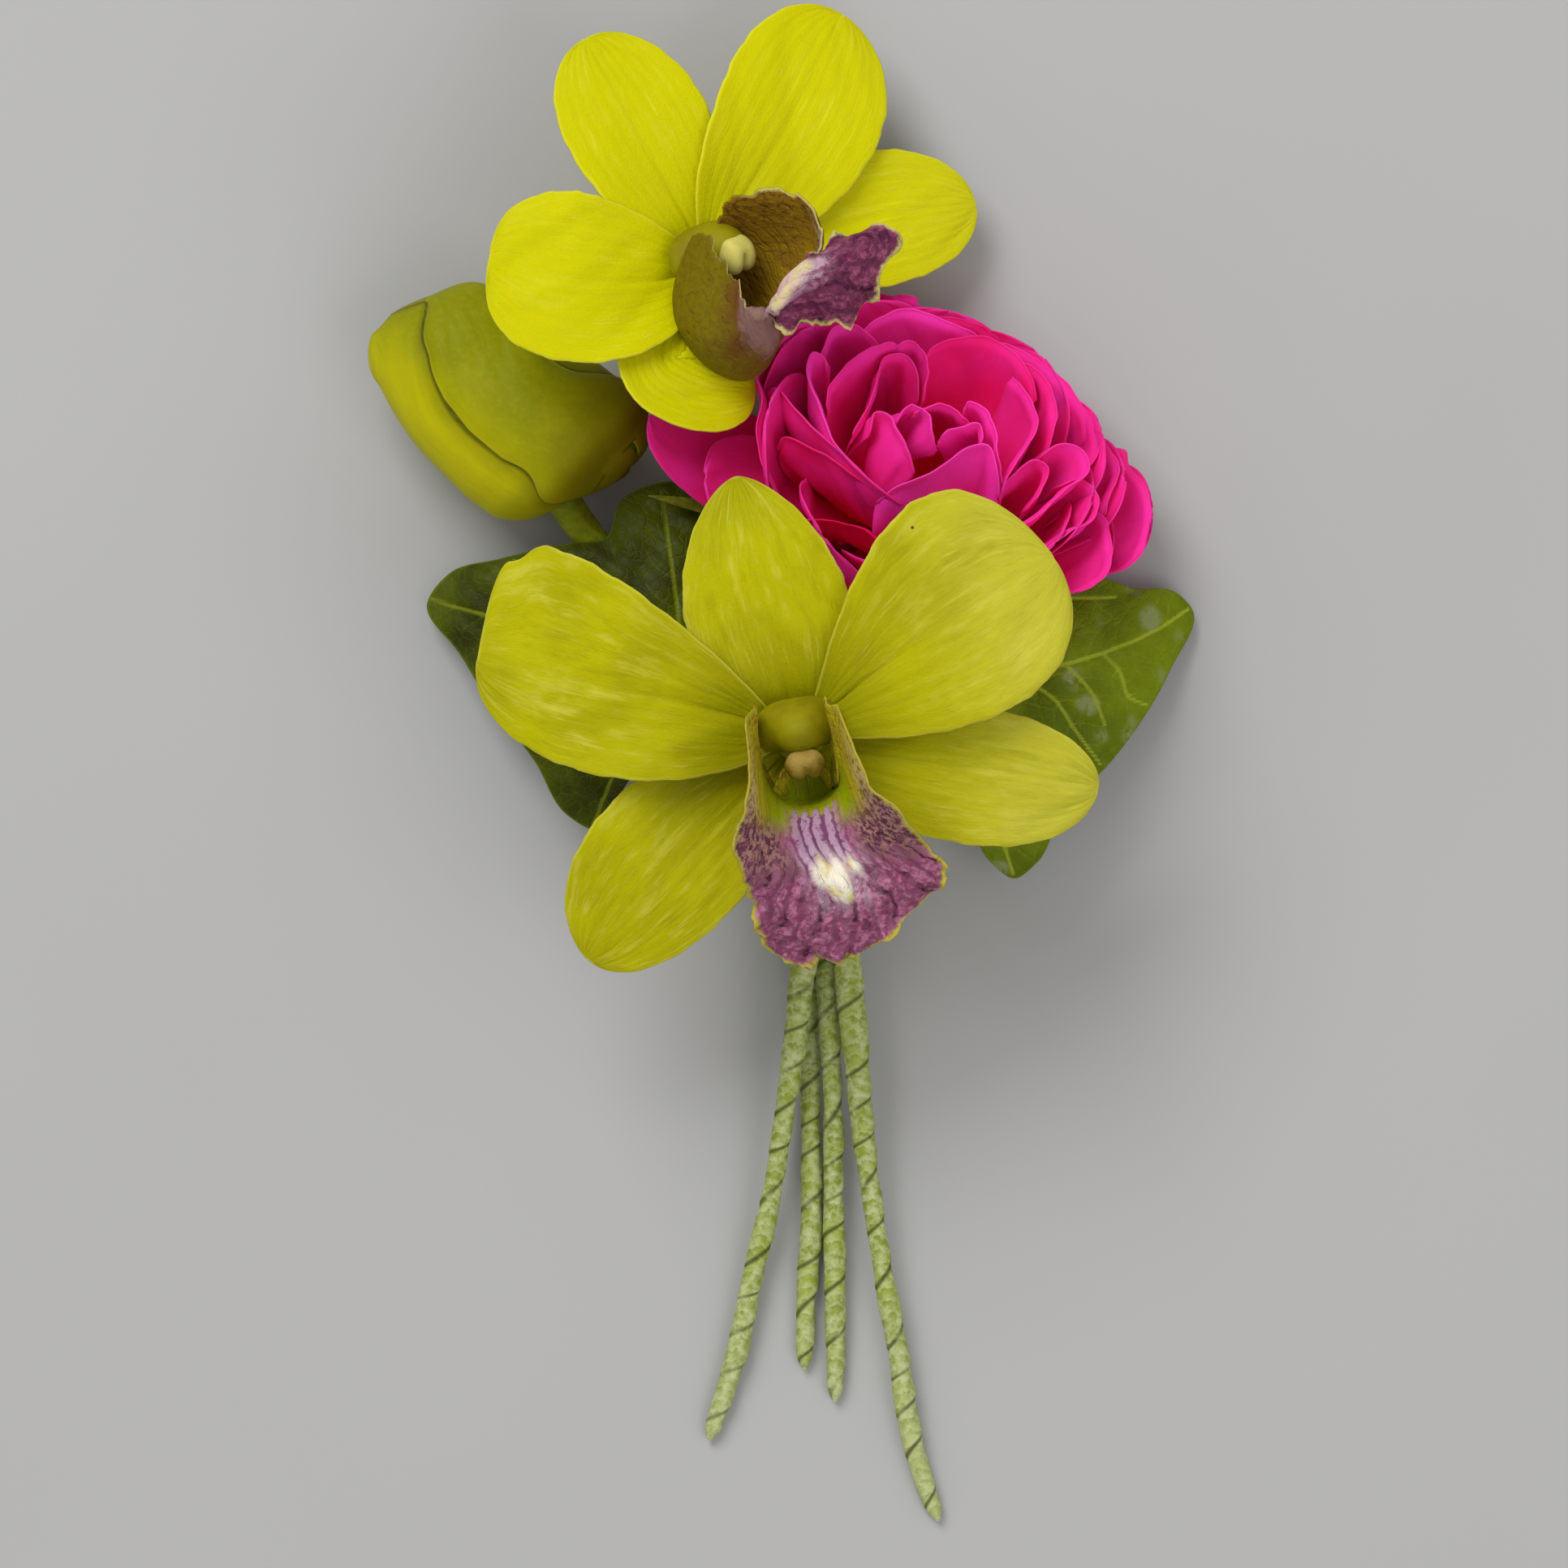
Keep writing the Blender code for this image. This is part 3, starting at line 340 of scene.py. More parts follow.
class Paint:
    """A material on a Principled shader, whose patterns are written as expressions of Terms."""

    def __init__(self, name, **constants):
        self.material = bpy.data.materials.new(name)
        self.material.use_nodes = True
        self.tree = self.material.node_tree
        self.shader = self.tree.nodes["Principled BSDF"]
        for socket, value in constants.items():
            self.shader.inputs[socket.replace("_", " ")].default_value = value

    def node(self, kind, settings, values, output=0):
        """Adds a node: first its settings, then the values or links of its sockets, by place or by name."""
        node = self.tree.nodes.new(kind)
        for key, value in settings.items():
            setattr(node, key, value)
        pairs = values.items() if isinstance(values, dict) else enumerate(values)
        for key, value in pairs:
            self.feed(node.inputs[key], value)
        return Term(self, node.outputs[output])

    def feed(self, socket, value):
        """Links a Term to a socket, or sets the socket's own value."""
        if isinstance(value, Term):
            self.tree.links.new(value.socket, socket)
        else:
            socket.default_value = value

    def place(self, name):
        """A place stored on the mesh's points, such as the share along a blade."""
        return self.node("ShaderNodeAttribute", {"attribute_name": name}, [], 2)

    def object_place(self):
        """The point's place in the part's frame, in metres."""
        return self.node("ShaderNodeTexCoord", {}, [], 3)

    def vector(self, x, y, z=0.0):
        return self.node("ShaderNodeCombineXYZ", {}, [x, y, z])

    def noise(self, where, scale, detail=2.0, roughness=0.5):
        values = {"Vector": where, "Scale": scale, "Detail": detail, "Roughness": roughness}
        return self.node("ShaderNodeTexNoise", {}, values)

    def cells(self, where, scale, feature="F1", output=0):
        return self.node("ShaderNodeTexVoronoi", {"feature": feature}, {"Vector": where, "Scale": scale}, output)

    def mix(self, share, start, end):
        """The colour start where the share is 0, and end where it is 1."""
        return self.node("ShaderNodeMix", {"data_type": "RGBA"}, {0: share, 6: start, 7: end}, 2)

    def finish(self, colour, roughness=None, height=None, depth=0.1):
        """Feeds the shader: the colour, the roughness, and a bump of the height term times depth in mm."""
        self.feed(self.shader.inputs["Base Color"], colour)
        if roughness is not None:
            self.feed(self.shader.inputs["Roughness"], roughness)
        if height is not None:
            bump = self.node("ShaderNodeBump", {}, {"Strength": 1.0, "Distance": depth * MM, "Height": height})
            self.feed(self.shader.inputs["Normal"], bump)
        return self.material


# Orchids

FRONT_CENTRE, FRONT_NORMAL = np.array([1.7, 4.05, 31.0]), unit([0.0, -0.12, 0.99])
FRONT_TEPALS = {
    "dorsal_sepal": dict(
        spine=[(1.4, 4.6, -0.6), (-0.2, 11.6, 1.4), (-2.6, 20.6, 2.4), (-5.3, 32.2, 0.4)],
        halves=(9.2, 9.2), rise=(0.50, 0.50), fall=(0.62, 0.66), bend=(0.5, -0.2)),
    "left_petal": dict(
        spine=[(0.6, 4.4, 0.6), (-8.0, 6.8, 2.8), (-18.0, 9.0, 4.0), (-33.6, 12.4, 1.2)],
        halves=(9.8, 13.6), rise=(0.60, 1.05), fall=(0.45, 0.21), bend=(0.6, -0.15),
        dents=((1, 0.93, 0.035, 1.1),)),
    "right_petal": dict(
        spine=[(1.8, 4.6, 0.6), (9.0, 9.9, 2.8), (18.0, 15.8, 4.2), (29.6, 23.2, 1.6)],
        halves=(13.6, 11.3), rise=(1.35, 0.82), fall=(0.56, 0.42), bend=(0.6, -0.15)),
    "lower_right_sepal": dict(
        spine=[(2.4, 3.2, -0.6), (11.0, 1.6, 0.6), (22.0, 0.1, 1.2), (34.6, -1.8, -1.0)],
        halves=(6.9, 8.4), rise=(0.60, 0.60), fall=(0.50, 0.45), bend=(0.5, -0.1)),
    "lower_left_sepal": dict(
        spine=[(0.8, 2.8, -0.6), (-6.0, -4.4, 0.4), (-13.0, -11.8, 1.0), (-21.7, -20.8, -2.0)],
        halves=(7.7, 10.2), rise=(0.55, 0.60), fall=(0.45, 0.52), bend=(0.5, -0.1)),
}
BACK_CENTRE, BACK_NORMAL = np.array([-8.6, 55.6, 18.0]), unit([0.36, 0.12, 0.925])
BACK_TEPALS = {
    "dorsal_sepal": dict(
        spine=[(-8.7, 56.6, -0.6), (-11.2, 62.0, 1.0), (-15.8, 70.4, 2.0), (-22.0, 81.4, 0.8)],
        halves=(8.6, 8.6), rise=(0.62, 0.62), fall=(0.46, 0.46), bend=(0.5, -0.1)),
    "upper_petal": dict(
        spine=[(-8.3, 56.6, 0.6), (-5.0, 63.0, 1.8), (0.4, 72.0, 2.6), (6.6, 85.0, 0.8)],
        halves=(9.3, 10.0), rise=(0.7, 0.7), fall=(0.46, 0.46), bend=(0.5, -0.1)),
    "right_sepal": dict(
        spine=[(-7.4, 56.0, -0.6), (0.0, 58.8, 0.8), (10.0, 61.9, 1.2), (21.6, 64.0, 0.2)],
        halves=(7.8, 7.8), rise=(0.62, 0.62), fall=(0.46, 0.46), bend=(0.5, -0.1)),
    "left_petal": dict(
        spine=[(-9.4, 55.4, 0.6), (-15.0, 54.4, 2.0), (-22.0, 54.3, 3.0), (-32.5, 56.6, 1.4)],
        halves=(9.6, 9.6), rise=(0.62, 0.62), fall=(0.38, 0.36), bend=(0.5, -0.1)),
    "lower_sepal": dict(
        spine=[(-8.8, 54.8, -0.6), (-12.9, 49.4, 0.8), (-13.4, 45.0, 1.6), (-9.6, 42.6, 1.8), (-3.2, 41.9, 2.0)],
        halves=(5.0, 5.6), rise=(0.42, 0.42), fall=(0.38, 0.38), bend=(0.5, 0.2)),
}
RECEPTACLE = np.array([3.3, 3.3, 2.9])
RECEPTACLE_DEPTH = 1.4

# Along a lip: the shares at which its cross curves are given, and their bends and curls
LIP_SHARES = (0, 0.125, 0.25, 0.375, 0.5, 0.61, 0.73, 0.87, 0.95, 1)
LIP_BENDS = (40, 110, 165, 170, 130, 44, 8, -8, -12, -14)
LIP_CURLS = (0.1, 0.3, 0.42, 0.48, 0.5, 0.42, 0.05, 0.0, 0.0, 0.0)
# left and right are the half-lengths of the cross curves, funnels the shares by which each side lobe is
# narrower at its foot than at its mouth, and sway the distance by which the middle lobe leans to the right
FRONT_LIP = dict(
    centre=FRONT_CENTRE, normal=unit([0.04, -0.22, 0.975]), towards=(0.16, -0.98, 0.0),
    spine=[(2.8, 1.5), (5.0, 1.4), (6.8, 1.9), (7.2, 4.2), (6.9, 7.0), (6.9, 9.6), (9.4, 11.8), (14.2, 12.7),
           (19.2, 11.5), (23.6, 9.2)],
    left=(2.8, 8.4, 14.4, 15.2, 13.8, 10.2, 10.2, 8.9, 7.2, 3.2), right=(2.8, 8.4, 14.0, 14.4, 13.6, 12.2, 11.2, 6.8, 4.2, 2.4),
    funnels=(0.36, 0.12), sway=1.8)
BACK_LIP = dict(
    centre=BACK_CENTRE + np.array([-1.2, 0.4, 1.0]), normal=unit([0.62, 0.08, 0.78]), towards=(0.40, -0.88, 0.0))
# The back lip turns its side to the view. These are its cross curves at shares along it, each from the rim of
# the far side lobe, through the keel, to the rim of the near one
BACK_LIP_SECTIONS = [
    (0, [(-6.6, 56.9, 20.5), (-6.4, 56.2, 19.5), (-6.6, 55.4, 18.8), (-7.2, 54.7, 18.5),
        (-7.9, 54.6, 18.8), (-8.6, 54.9, 19.5), (-9.0, 55.5, 20.5)]),
    (0.08, [(-7.2, 61.4, 24), (-5.5, 60.3, 22), (-4.6, 57.6, 19.5), (-5.5, 53.8, 17.5),
        (-8.5, 51.8, 18.5), (-11.5, 53.8, 21.5), (-10.6, 58.0, 26.5)]),
    (0.17, [(-5.5, 63.2, 26.5), (-2.8, 61.4, 24), (-1.4, 57.6, 21), (-3.7, 51.3, 18),
        (-8.2, 47.7, 19), (-12.0, 50.9, 23), (-8.8, 59.3, 30)]),
    (0.27, [(-1.4, 64.1, 28.5), (0.5, 61.4, 26), (1.1, 57.1, 23), (-1.4, 49.5, 20),
        (-6.4, 44.5, 20.5), (-10.4, 48.1, 25.5), (-7.4, 56.9, 31.5)]),
    (0.38, [(2.3, 62.8, 29.5), (3.3, 60.3, 27.5), (3.1, 56.2, 25.5), (-0.1, 48.6, 23),
        (-3.7, 43.6, 23.5), (-7.7, 46.8, 28.5), (-5.9, 54.7, 32.5)]),
    (0.47, [(4.2, 59.4, 30.5), (4.0, 57.6, 29), (2.6, 54.4, 28.5), (-0.1, 49.0, 27.5),
        (-1.9, 45.9, 28.5), (-4.6, 48.1, 31), (-4.8, 52.9, 33)]),
    (0.55, [(3.5, 56.2, 31.5), (2.6, 55.4, 31), (1.3, 54.0, 31.5), (-0.5, 51.3, 32),
        (-1.9, 49.5, 32.5), (-3.1, 49.5, 33), (-4.0, 50.6, 33.3)]),
    (0.63, [(3.1, 56.9, 31), (2.9, 56.2, 32.5), (2.5, 55.4, 34), (1.7, 53.8, 34.5),
        (0.8, 52.0, 34.2), (-0.4, 50.2, 33), (-1.0, 49.3, 31.8)]),
    (0.78, [(5.8, 58.1, 31.5), (5.8, 57.6, 33), (5.5, 56.8, 34.8), (5.3, 55.8, 35.3),
        (4.9, 53.8, 35), (4.1, 51.3, 33.4), (3.9, 48.7, 31.5)]),
    (0.9, [(9.2, 59.9, 32), (9.2, 59.1, 33), (9.2, 58.5, 34.3), (8.7, 56.9, 34.8),
        (8.3, 55.1, 34.4), (7.7, 52.0, 33), (7.7, 49.8, 31)]),
    (1, [(12.5, 58.5, 31.5), (12.9, 58.0, 32), (12.8, 57.5, 32.4), (12.2, 56.8, 32.4),
        (11.3, 55.7, 33.2), (10.6, 54.2, 33), (10.5, 51.9, 31.5)]),
]
LIP_ROWS, LIP_COLUMNS = 150, 145
LIP_STEPS = 144
# Shares along the lip: where its throat ends and its middle lobe begins
THROAT = 0.50
COLUMN_PATH = [(-1.2, 1.9), (-1.3, 4.2), (-1.0, 6.3), (-0.2, 7.6)]
COLUMN_RADII = (2.2, 2.5, 2.6, 2.1)
# Each anther cap's place down from the flower's centre and out from its plane, and its radii
FRONT_ANTHER = (1.9, 7.0), (2.2, 1.6, 1.2)
BACK_ANTHER = (-0.5, 7.6), (2.2, 2.1, 1.7)
TEPAL_THICKNESS = 0.75


def on_plane(points, centre, normal):
    """Points given as X, Y and height above a flower's plane, as X, Y and Z."""
    points = np.array(points, float)
    rise = (points[:, :2] - centre[:2]) @ normal[:2] / normal[2]
    points[:, 2] += centre[2] - rise
    return points


def flower_frame(centre, normal, towards):
    """The flower's centre and its sideways, downward and outward directions; the lip points along towards."""
    downward = np.asarray(towards, float) - np.dot(towards, normal) * normal
    downward = unit(downward)
    return centre, np.cross(normal, downward), downward, normal


def in_flower(frame, points):
    """Points of a flower's downward-outward midplane in the layout."""
    centre, _, downward, outward = frame
    points = np.asarray(points, float)
    return centre + points[..., 0:1] * downward + points[..., 1:2] * outward


def tepal(centre, normal, shape, seed):
    """One petal or sepal: a blade with a crease down its middle and shallow lengthwise ribs, thin at its rim."""
    shape = dict(shape, spine=on_plane(shape["spine"], centre, normal))
    grid, places = blade(facing=normal, seed=seed, wave=0.35, waves=2.6, **shape)
    u, v = places["along"], places["across"]
    crease = -0.3 * hill(v, 0, 0.07) * (1 - u)
    ribs = 0.035 * np.sin(38 * v) * ease(places["edge"], 0.3, 2.0)
    swell = 0.22 * ripple(1.4 * u + 0.6 * v, seed, 1.0) * ease(places["edge"], 0.0, 3.0)
    grid = grid + (crease + ribs + swell)[..., None] * normals(grid)
    thickness = 0.16 + (TEPAL_THICKNESS - 0.2) * np.sqrt(np.clip(places["edge"] / 4.0, 0, 1))
    return sheet(grid, thickness, places)


def lip(frame, shape, ruffle, seed):
    """An orchid's lip: side lobes that stand round the column, and a frilled middle lobe.

    Each row is a curve to each side of the midline, whose slope at the share t of its half-length is
    bend (t - curl t^3). The side lobes stand like a funnel. The edge is drawn in and out by a fine ripple,
    and lifted by two more.
    """
    centre, sideways, downward, outward = frame
    s = np.linspace(0, 0.985, LIP_ROWS)
    u = 1 - (1 - s) ** 1.3
    stations = chord_stations(shape["spine"])
    length = stations[-1]
    middle = smooth(stations / length, shape["spine"], u)
    along = unit(np.gradient(middle, u, axis=0))
    up = np.stack([-along[:, 1], along[:, 0]], axis=1)
    bend = np.radians(smooth(LIP_SHARES, LIP_BENDS, u))[:, None]
    curl = smooth(LIP_SHARES, LIP_CURLS, u)[:, None]
    t = (np.arange(LIP_STEPS) + 0.5) / LIP_STEPS
    start = np.zeros((LIP_ROWS, 1))
    u = u[:, None]
    lobe = ease(u, 0.44, 0.62)
    across, lift, arc = [], [], []
    # The curve is summed in small steps of its length, of which each column takes its own
    for side, lengths, funnel in zip((1, -1), (shape["right"], shape["left"]), shape["funnels"]):
        half = smooth(LIP_SHARES, lengths, u[:, 0])[:, None]
        slope = bend * (t - curl * t**3)
        reach = np.concatenate([start, np.cumsum(np.cos(slope), axis=1)], axis=1) / LIP_STEPS
        climb = np.concatenate([start, np.cumsum(np.sin(slope), axis=1)], axis=1) / LIP_STEPS
        step = np.linspace(0, LIP_STEPS, (LIP_COLUMNS + 1) // 2).astype(int)
        share = step / LIP_STEPS
        rim = share**6
        crenate = 1 + 0.05 * ripple(u + 0.37 * side, seed, 8.0, 4) * rim
        lifted = half * climb[:, step] * crenate
        lifted = lifted + ruffle * lobe * share**3 * np.sin(2 * np.pi * 4.4 * u + 1.4 * side)
        lifted = lifted + 0.5 * ruffle * (0.3 + 0.7 * lobe) * rim * ripple(u + 0.21 * side, seed + 1, 10.0)
        narrow = 1 - funnel * ease(u, 0.52, 0.22) * ease(share, 0.15, 0.6)
        sides = [half * reach[:, step] * side * crenate * narrow, lifted, half * share * side]
        order = slice(None, None, -1) if side > 0 else slice(1, None)
        for whole, part in zip((across, lift, arc), sides):
            whole.append(part[:, order])
    across, lift, arc = (np.concatenate(parts, axis=1) for parts in (across, lift, arc))
    v = np.linspace(1, -1, LIP_COLUMNS)
    tip = ease(u, 0.88, 1.0)
    lift = lift + 0.7 * ruffle * tip * ripple(0.5 * v, seed + 2, 2.2, 2)
    across = across + shape["sway"] * hill(u, 0.74, 0.2) * lobe
    flat = middle[:, None] + lift[..., None] * up[:, None]
    flat = flat + (0.5 * tip * ripple(0.5 * v, seed + 3, 3.0, 3))[..., None] * along[:, None]
    grid = centre + across[..., None] * sideways + flat[..., 0:1] * downward + flat[..., 1:2] * outward
    return dress_lip(grid, u, v, arc, length, seed)


def sectioned_lip(sections, ruffle, seed):
    """A lip that passes smoothly through its cross curves, with its rim rippled on the middle lobe."""
    s = np.linspace(0, 1, LIP_ROWS)
    v = np.linspace(1, -1, LIP_COLUMNS)
    shares = [share for share, _ in sections]
    curves = np.array([smooth(np.linspace(1, -1, 7)[::-1], curve[::-1], v[::-1])[::-1] for _, curve in sections])
    grid = smooth(np.array(shares), curves.reshape(len(sections), -1), s).reshape(LIP_ROWS, LIP_COLUMNS, 3)
    u = s[:, None]
    lobe = ease(u, 0.5, 0.62)
    side = np.sign(v)
    rim = np.abs(v) ** 5
    lift = ruffle * lobe * np.abs(v) ** 3 * np.sin(2 * np.pi * 5.2 * u + 1.4 * side)
    lift = lift + 0.45 * ruffle * (0.35 + 0.65 * lobe) * rim * ripple(u + 0.21 * side, seed + 1, 9.0)
    grid = grid + lift[..., None] * normals(grid)
    outwards = unit(np.gradient(grid, axis=1)) * -side[:, None]
    grid = grid + (0.5 * rim * ripple(u + 0.37 * side, seed, 9.0, 4))[..., None] * outwards
    steps = np.linalg.norm(np.diff(grid, axis=1), axis=-1)
    arc = np.concatenate([np.zeros((LIP_ROWS, 1)), np.cumsum(steps, axis=1)], axis=1)
    arc = arc[:, LIP_COLUMNS // 2, None] - arc
    length = np.linalg.norm(np.diff(grid[:, LIP_COLUMNS // 2], axis=0), axis=-1).sum()
    return dress_lip(grid, u, v, arc, length, seed)


def dress_lip(grid, u, v, arc, length, seed):
    """A lip's shell with its relief: two keels side by side on the midline, with lumps at their end, pleats
    that fan out from the throat, and soft crumples. arc is the distance in mm from the midline."""
    lobe = ease(u, 0.44, 0.62)
    down = (u - THROAT) * length + 0 * v
    fan = np.arctan2(arc, down + 5.0)
    distance = np.hypot(arc, down + 5.0)
    half = np.where(v > 0, np.abs(arc[:, :1]), np.abs(arc[:, -1:]))
    edge = np.minimum(half * (1 - np.abs(v)), (1.0 - u) * length)
    keels = (hill(arc, -0.8, 0.5) + hill(arc, 0.8, 0.5)) * hill(down, 3.6, 3.6)
    lumps = 0.7 * hill(arc, 2.5, 1.0) * hill(down, 3.2, 1.4) + 0.8 * hill(arc, -1.7, 1.0) * hill(down, 3.9, 1.6)
    lumps = lumps + hill(arc, 0.2, 0.8) * hill(down, 5.0, 2.2)
    pleats = 0.17 * np.sin(17 * fan + 1.2 * ripple(distance / 9, seed, 1.0)) * ease(distance, 5.0, 9.0) * lobe
    grain = 0.07 * np.sin(47 * fan + 2.4 * np.sin(0.9 * distance)) * lobe * ease(distance, 6.0, 10.0)
    crumple = 0.16 * ripple(arc / 9 + 0.3 * np.sin(down), seed + 4, 1.0) * ripple(down / 8, seed + 5, 1.0) * lobe
    floor = 0.10 * np.sin(4.6 * arc + 0.5 * ripple(down / 7, seed, 1.0)) * hill(arc, 0, 3.2) * hill(u, 0.52, 0.12)
    relief = 0.5 * keels + 0.7 * lumps + pleats + grain + crumple + floor
    grid = grid + relief[..., None] * normals(grid)
    places = {"along": u + 0 * v, "across": v + 0 * u, "edge": edge, "fan": fan, "reach": distance, "arc": arc}
    places["callus"] = np.clip(0.4 * keels + lumps, 0, 1)
    thickness = 0.14 + 0.4 * np.sqrt(np.clip(edge / 3.0, 0, 1))
    return sheet(grid, thickness, places)


def column(frame):
    """The column: a bar that arches over the lip from broad shoulders, hollowed along its underside."""
    centre, sideways, downward, outward = frame
    stations = chord_stations(COLUMN_PATH)
    steps = np.concatenate([np.linspace(0, 0.8, 28), 1 - 0.2 * np.linspace(1, 0, 16)[1:] ** 2])
    path = in_flower(frame, smooth(stations, COLUMN_PATH, steps * stations[-1]))
    radii = smooth(stations, COLUMN_RADII, steps * stations[-1])
    tip = np.clip((steps - 0.8) / 0.2, 0, 1)
    radii = radii * np.sqrt(np.clip(1 - tip**2, 0.003, 1))
    grid = rings(path, radii, 72, sideways)
    offset = grid - path[:, None]
    direction = unit(offset)
    aside = np.abs(np.sum(direction * sideways, -1))
    below = np.sum(direction * downward, -1)
    # Towards the base the sides spread into shoulders, and the lip's side is drawn in
    spread = (1 - ease(steps, 0.0, 0.85))[:, None] * (1.25 * aside**2 + 0.5 * np.clip(-below, 0, 1) ** 2)
    grid = path[:, None] + offset * (1 + spread - 0.38 * np.clip(below, 0, 1) ** 2)[..., None]
    return closed_tube(grid, grid_places(grid))


def anther_cap(frame, offset, radii):
    """The cap at the column's tip: a rounded body with a cleft between two lumps."""
    centre, sideways, downward, outward = frame
    middle = in_flower(frame, np.array([offset]))[0]
    sphere = ball((0, 0, 0), (1, 1, 1), 64, 44)
    x, y, z = sphere[..., 0], sphere[..., 1], sphere[..., 2]
    size = 1 - 0.30 * hill(x, 0, 0.20) * ease(y, -0.3, 0.6) + 0.10 * hill(np.abs(x), 0.55, 0.3)
    across, down, out = (radius * size * c for radius, c in zip(radii, (x, y, z)))
    grid = middle + across[..., None] * sideways + down[..., None] * downward + out[..., None] * outward
    return closed_tube(grid, grid_places(grid))


def flower_stalk(flower, radii):
    """The bare stalk of a flower, shallowly grooved, from just inside the end of the tape to the bloom."""
    points, _ = STEMS[flower]
    end = chord_stations(points)[-1]
    path = route(points, tape_end(flower) - 0.6, end, 40)
    turn = np.linspace(0, 2 * np.pi, 32, endpoint=False)
    grooved = np.linspace(*radii, 40)[:, None] * (1 + 0.05 * np.cos(5 * turn))
    grid = rings(path, grooved, 32, SIDEWAYS)
    return closed_tube(grid, grid_places(grid))


def orchid(name, centre, normal, tepals, lip_shape, lip_shell, anther, seed, paints):
    """An orchid bloom: sepals and petals round a receptacle, the lip, the column and the anther cap."""
    node = f"{name}_sepals_and_petals"
    for k, (blade_name, shape) in enumerate(tepals.items()):
        shell = tepal(centre, normal, shape, seed + k)
        piece(f"{name}_{blade_name}", [shell], paints["tepal"], "orchid_green", node)
    core = ball(centre - RECEPTACLE_DEPTH * normal, RECEPTACLE)
    stalk = flower_stalk(name, (1.4, 2.0))
    shells = [closed_tube(core, grid_places(core)), stalk]
    piece(f"{name}_receptacle", shells, paints["stalk"], "orchid_green", node)
    piece(f"{name}_lip_dressed", [lip_shell], paints["lip"], "lip_purple", f"{name}_lip")
    frame = flower_frame(lip_shape["centre"], lip_shape["normal"], lip_shape["towards"])
    piece(f"{name}_column_dressed", [column(frame)], paints["column"], "column_green", f"{name}_column")
    shell = anther_cap(frame, *anther)
    piece(f"{name}_anther_dressed", [shell], paints["anther"], "anther_cream", f"{name}_anther_cap")


def tepal_paint(name, body, deep, pale, blotches_and_painted_light):
    """Waxy petal: the deep tint towards the centre (a darker olive on the front orchid; on the back orchid a lighter
    yellow, painted light against the shade at the bases), broken pale streaks and blotches, a pale rim, a few dark
    specks, and painted light that makes the petals at the right paler.
    """
    paint = Paint(name, **{"Subsurface Weight": 0.12, "Subsurface Scale": 0.0012, "Specular IOR Level": 0.06})
    u, v, edge = (paint.place(n) for n in ("along", "across", "edge"))
    spot = paint.object_place()
    patches = paint.noise(spot, 130.0, 2.0)
    streaks = paint.noise(paint.vector(v * 26.0, u * 5.0), 1.0, 3.0, 0.6)
    fine = paint.noise(paint.vector(v * 90.0, u * 14.0, 3.0), 1.0, 2.0)
    # Towards the base the deep tint: a darker olive on the front orchid, and on the back orchid a lighter yellow
    # that is painted light against the shade at the bases
    colour = paint.mix(u.rise(0.0, 0.42) * 0.9 + 0.1, deep, body)
    colour = paint.mix(patches.rise(0.35, 0.7) * 0.35, colour, deep)
    pale_share = streaks.rise(0.53, 0.78) * patches.rise(0.38, 0.62) * u.rise(0.08, 0.4) * 0.8
    colour = paint.mix(pale_share * 0.7 + edge.rise(0.35, 0.08) * 0.4, colour, pale)
    # Paler blotches towards the tips, and painted light that makes the petals at the right paler
    x = paint.node("ShaderNodeSeparateXYZ", {}, [spot], 0)
    cloudy = paint.noise(paint.vector(v * 6.0, u * 5.0, x * 60.0), 1.0, 3.0, 0.65)
    right_side_painted_light = (x + cloudy * 0.02).rise(0.014, 0.036) * u.rise(0.3, 0.9)
    colour = paint.mix(cloudy.rise(0.5, 0.72) * u.rise(0.2, 0.6) * blotches_and_painted_light, colour, pale)
    colour = paint.mix(right_side_painted_light * blotches_and_painted_light, colour, pale)
    colour = paint.mix(cloudy.rise(0.46, 0.3) * 0.25, colour, deep)
    colour = paint.mix(fine.rise(0.55, 0.75) * 0.18, colour, deep)
    speck = paint.cells(spot, 95.0)
    colour = paint.mix(speck.rise(0.032, 0.018), colour, tint("4a3a10"))
    height = fine * 0.6 + paint.noise(spot, 2600.0, 1.0) * 0.5 + streaks * 0.5
    return paint.finish(colour, patches * 0.12 + 0.42, height, 0.09)


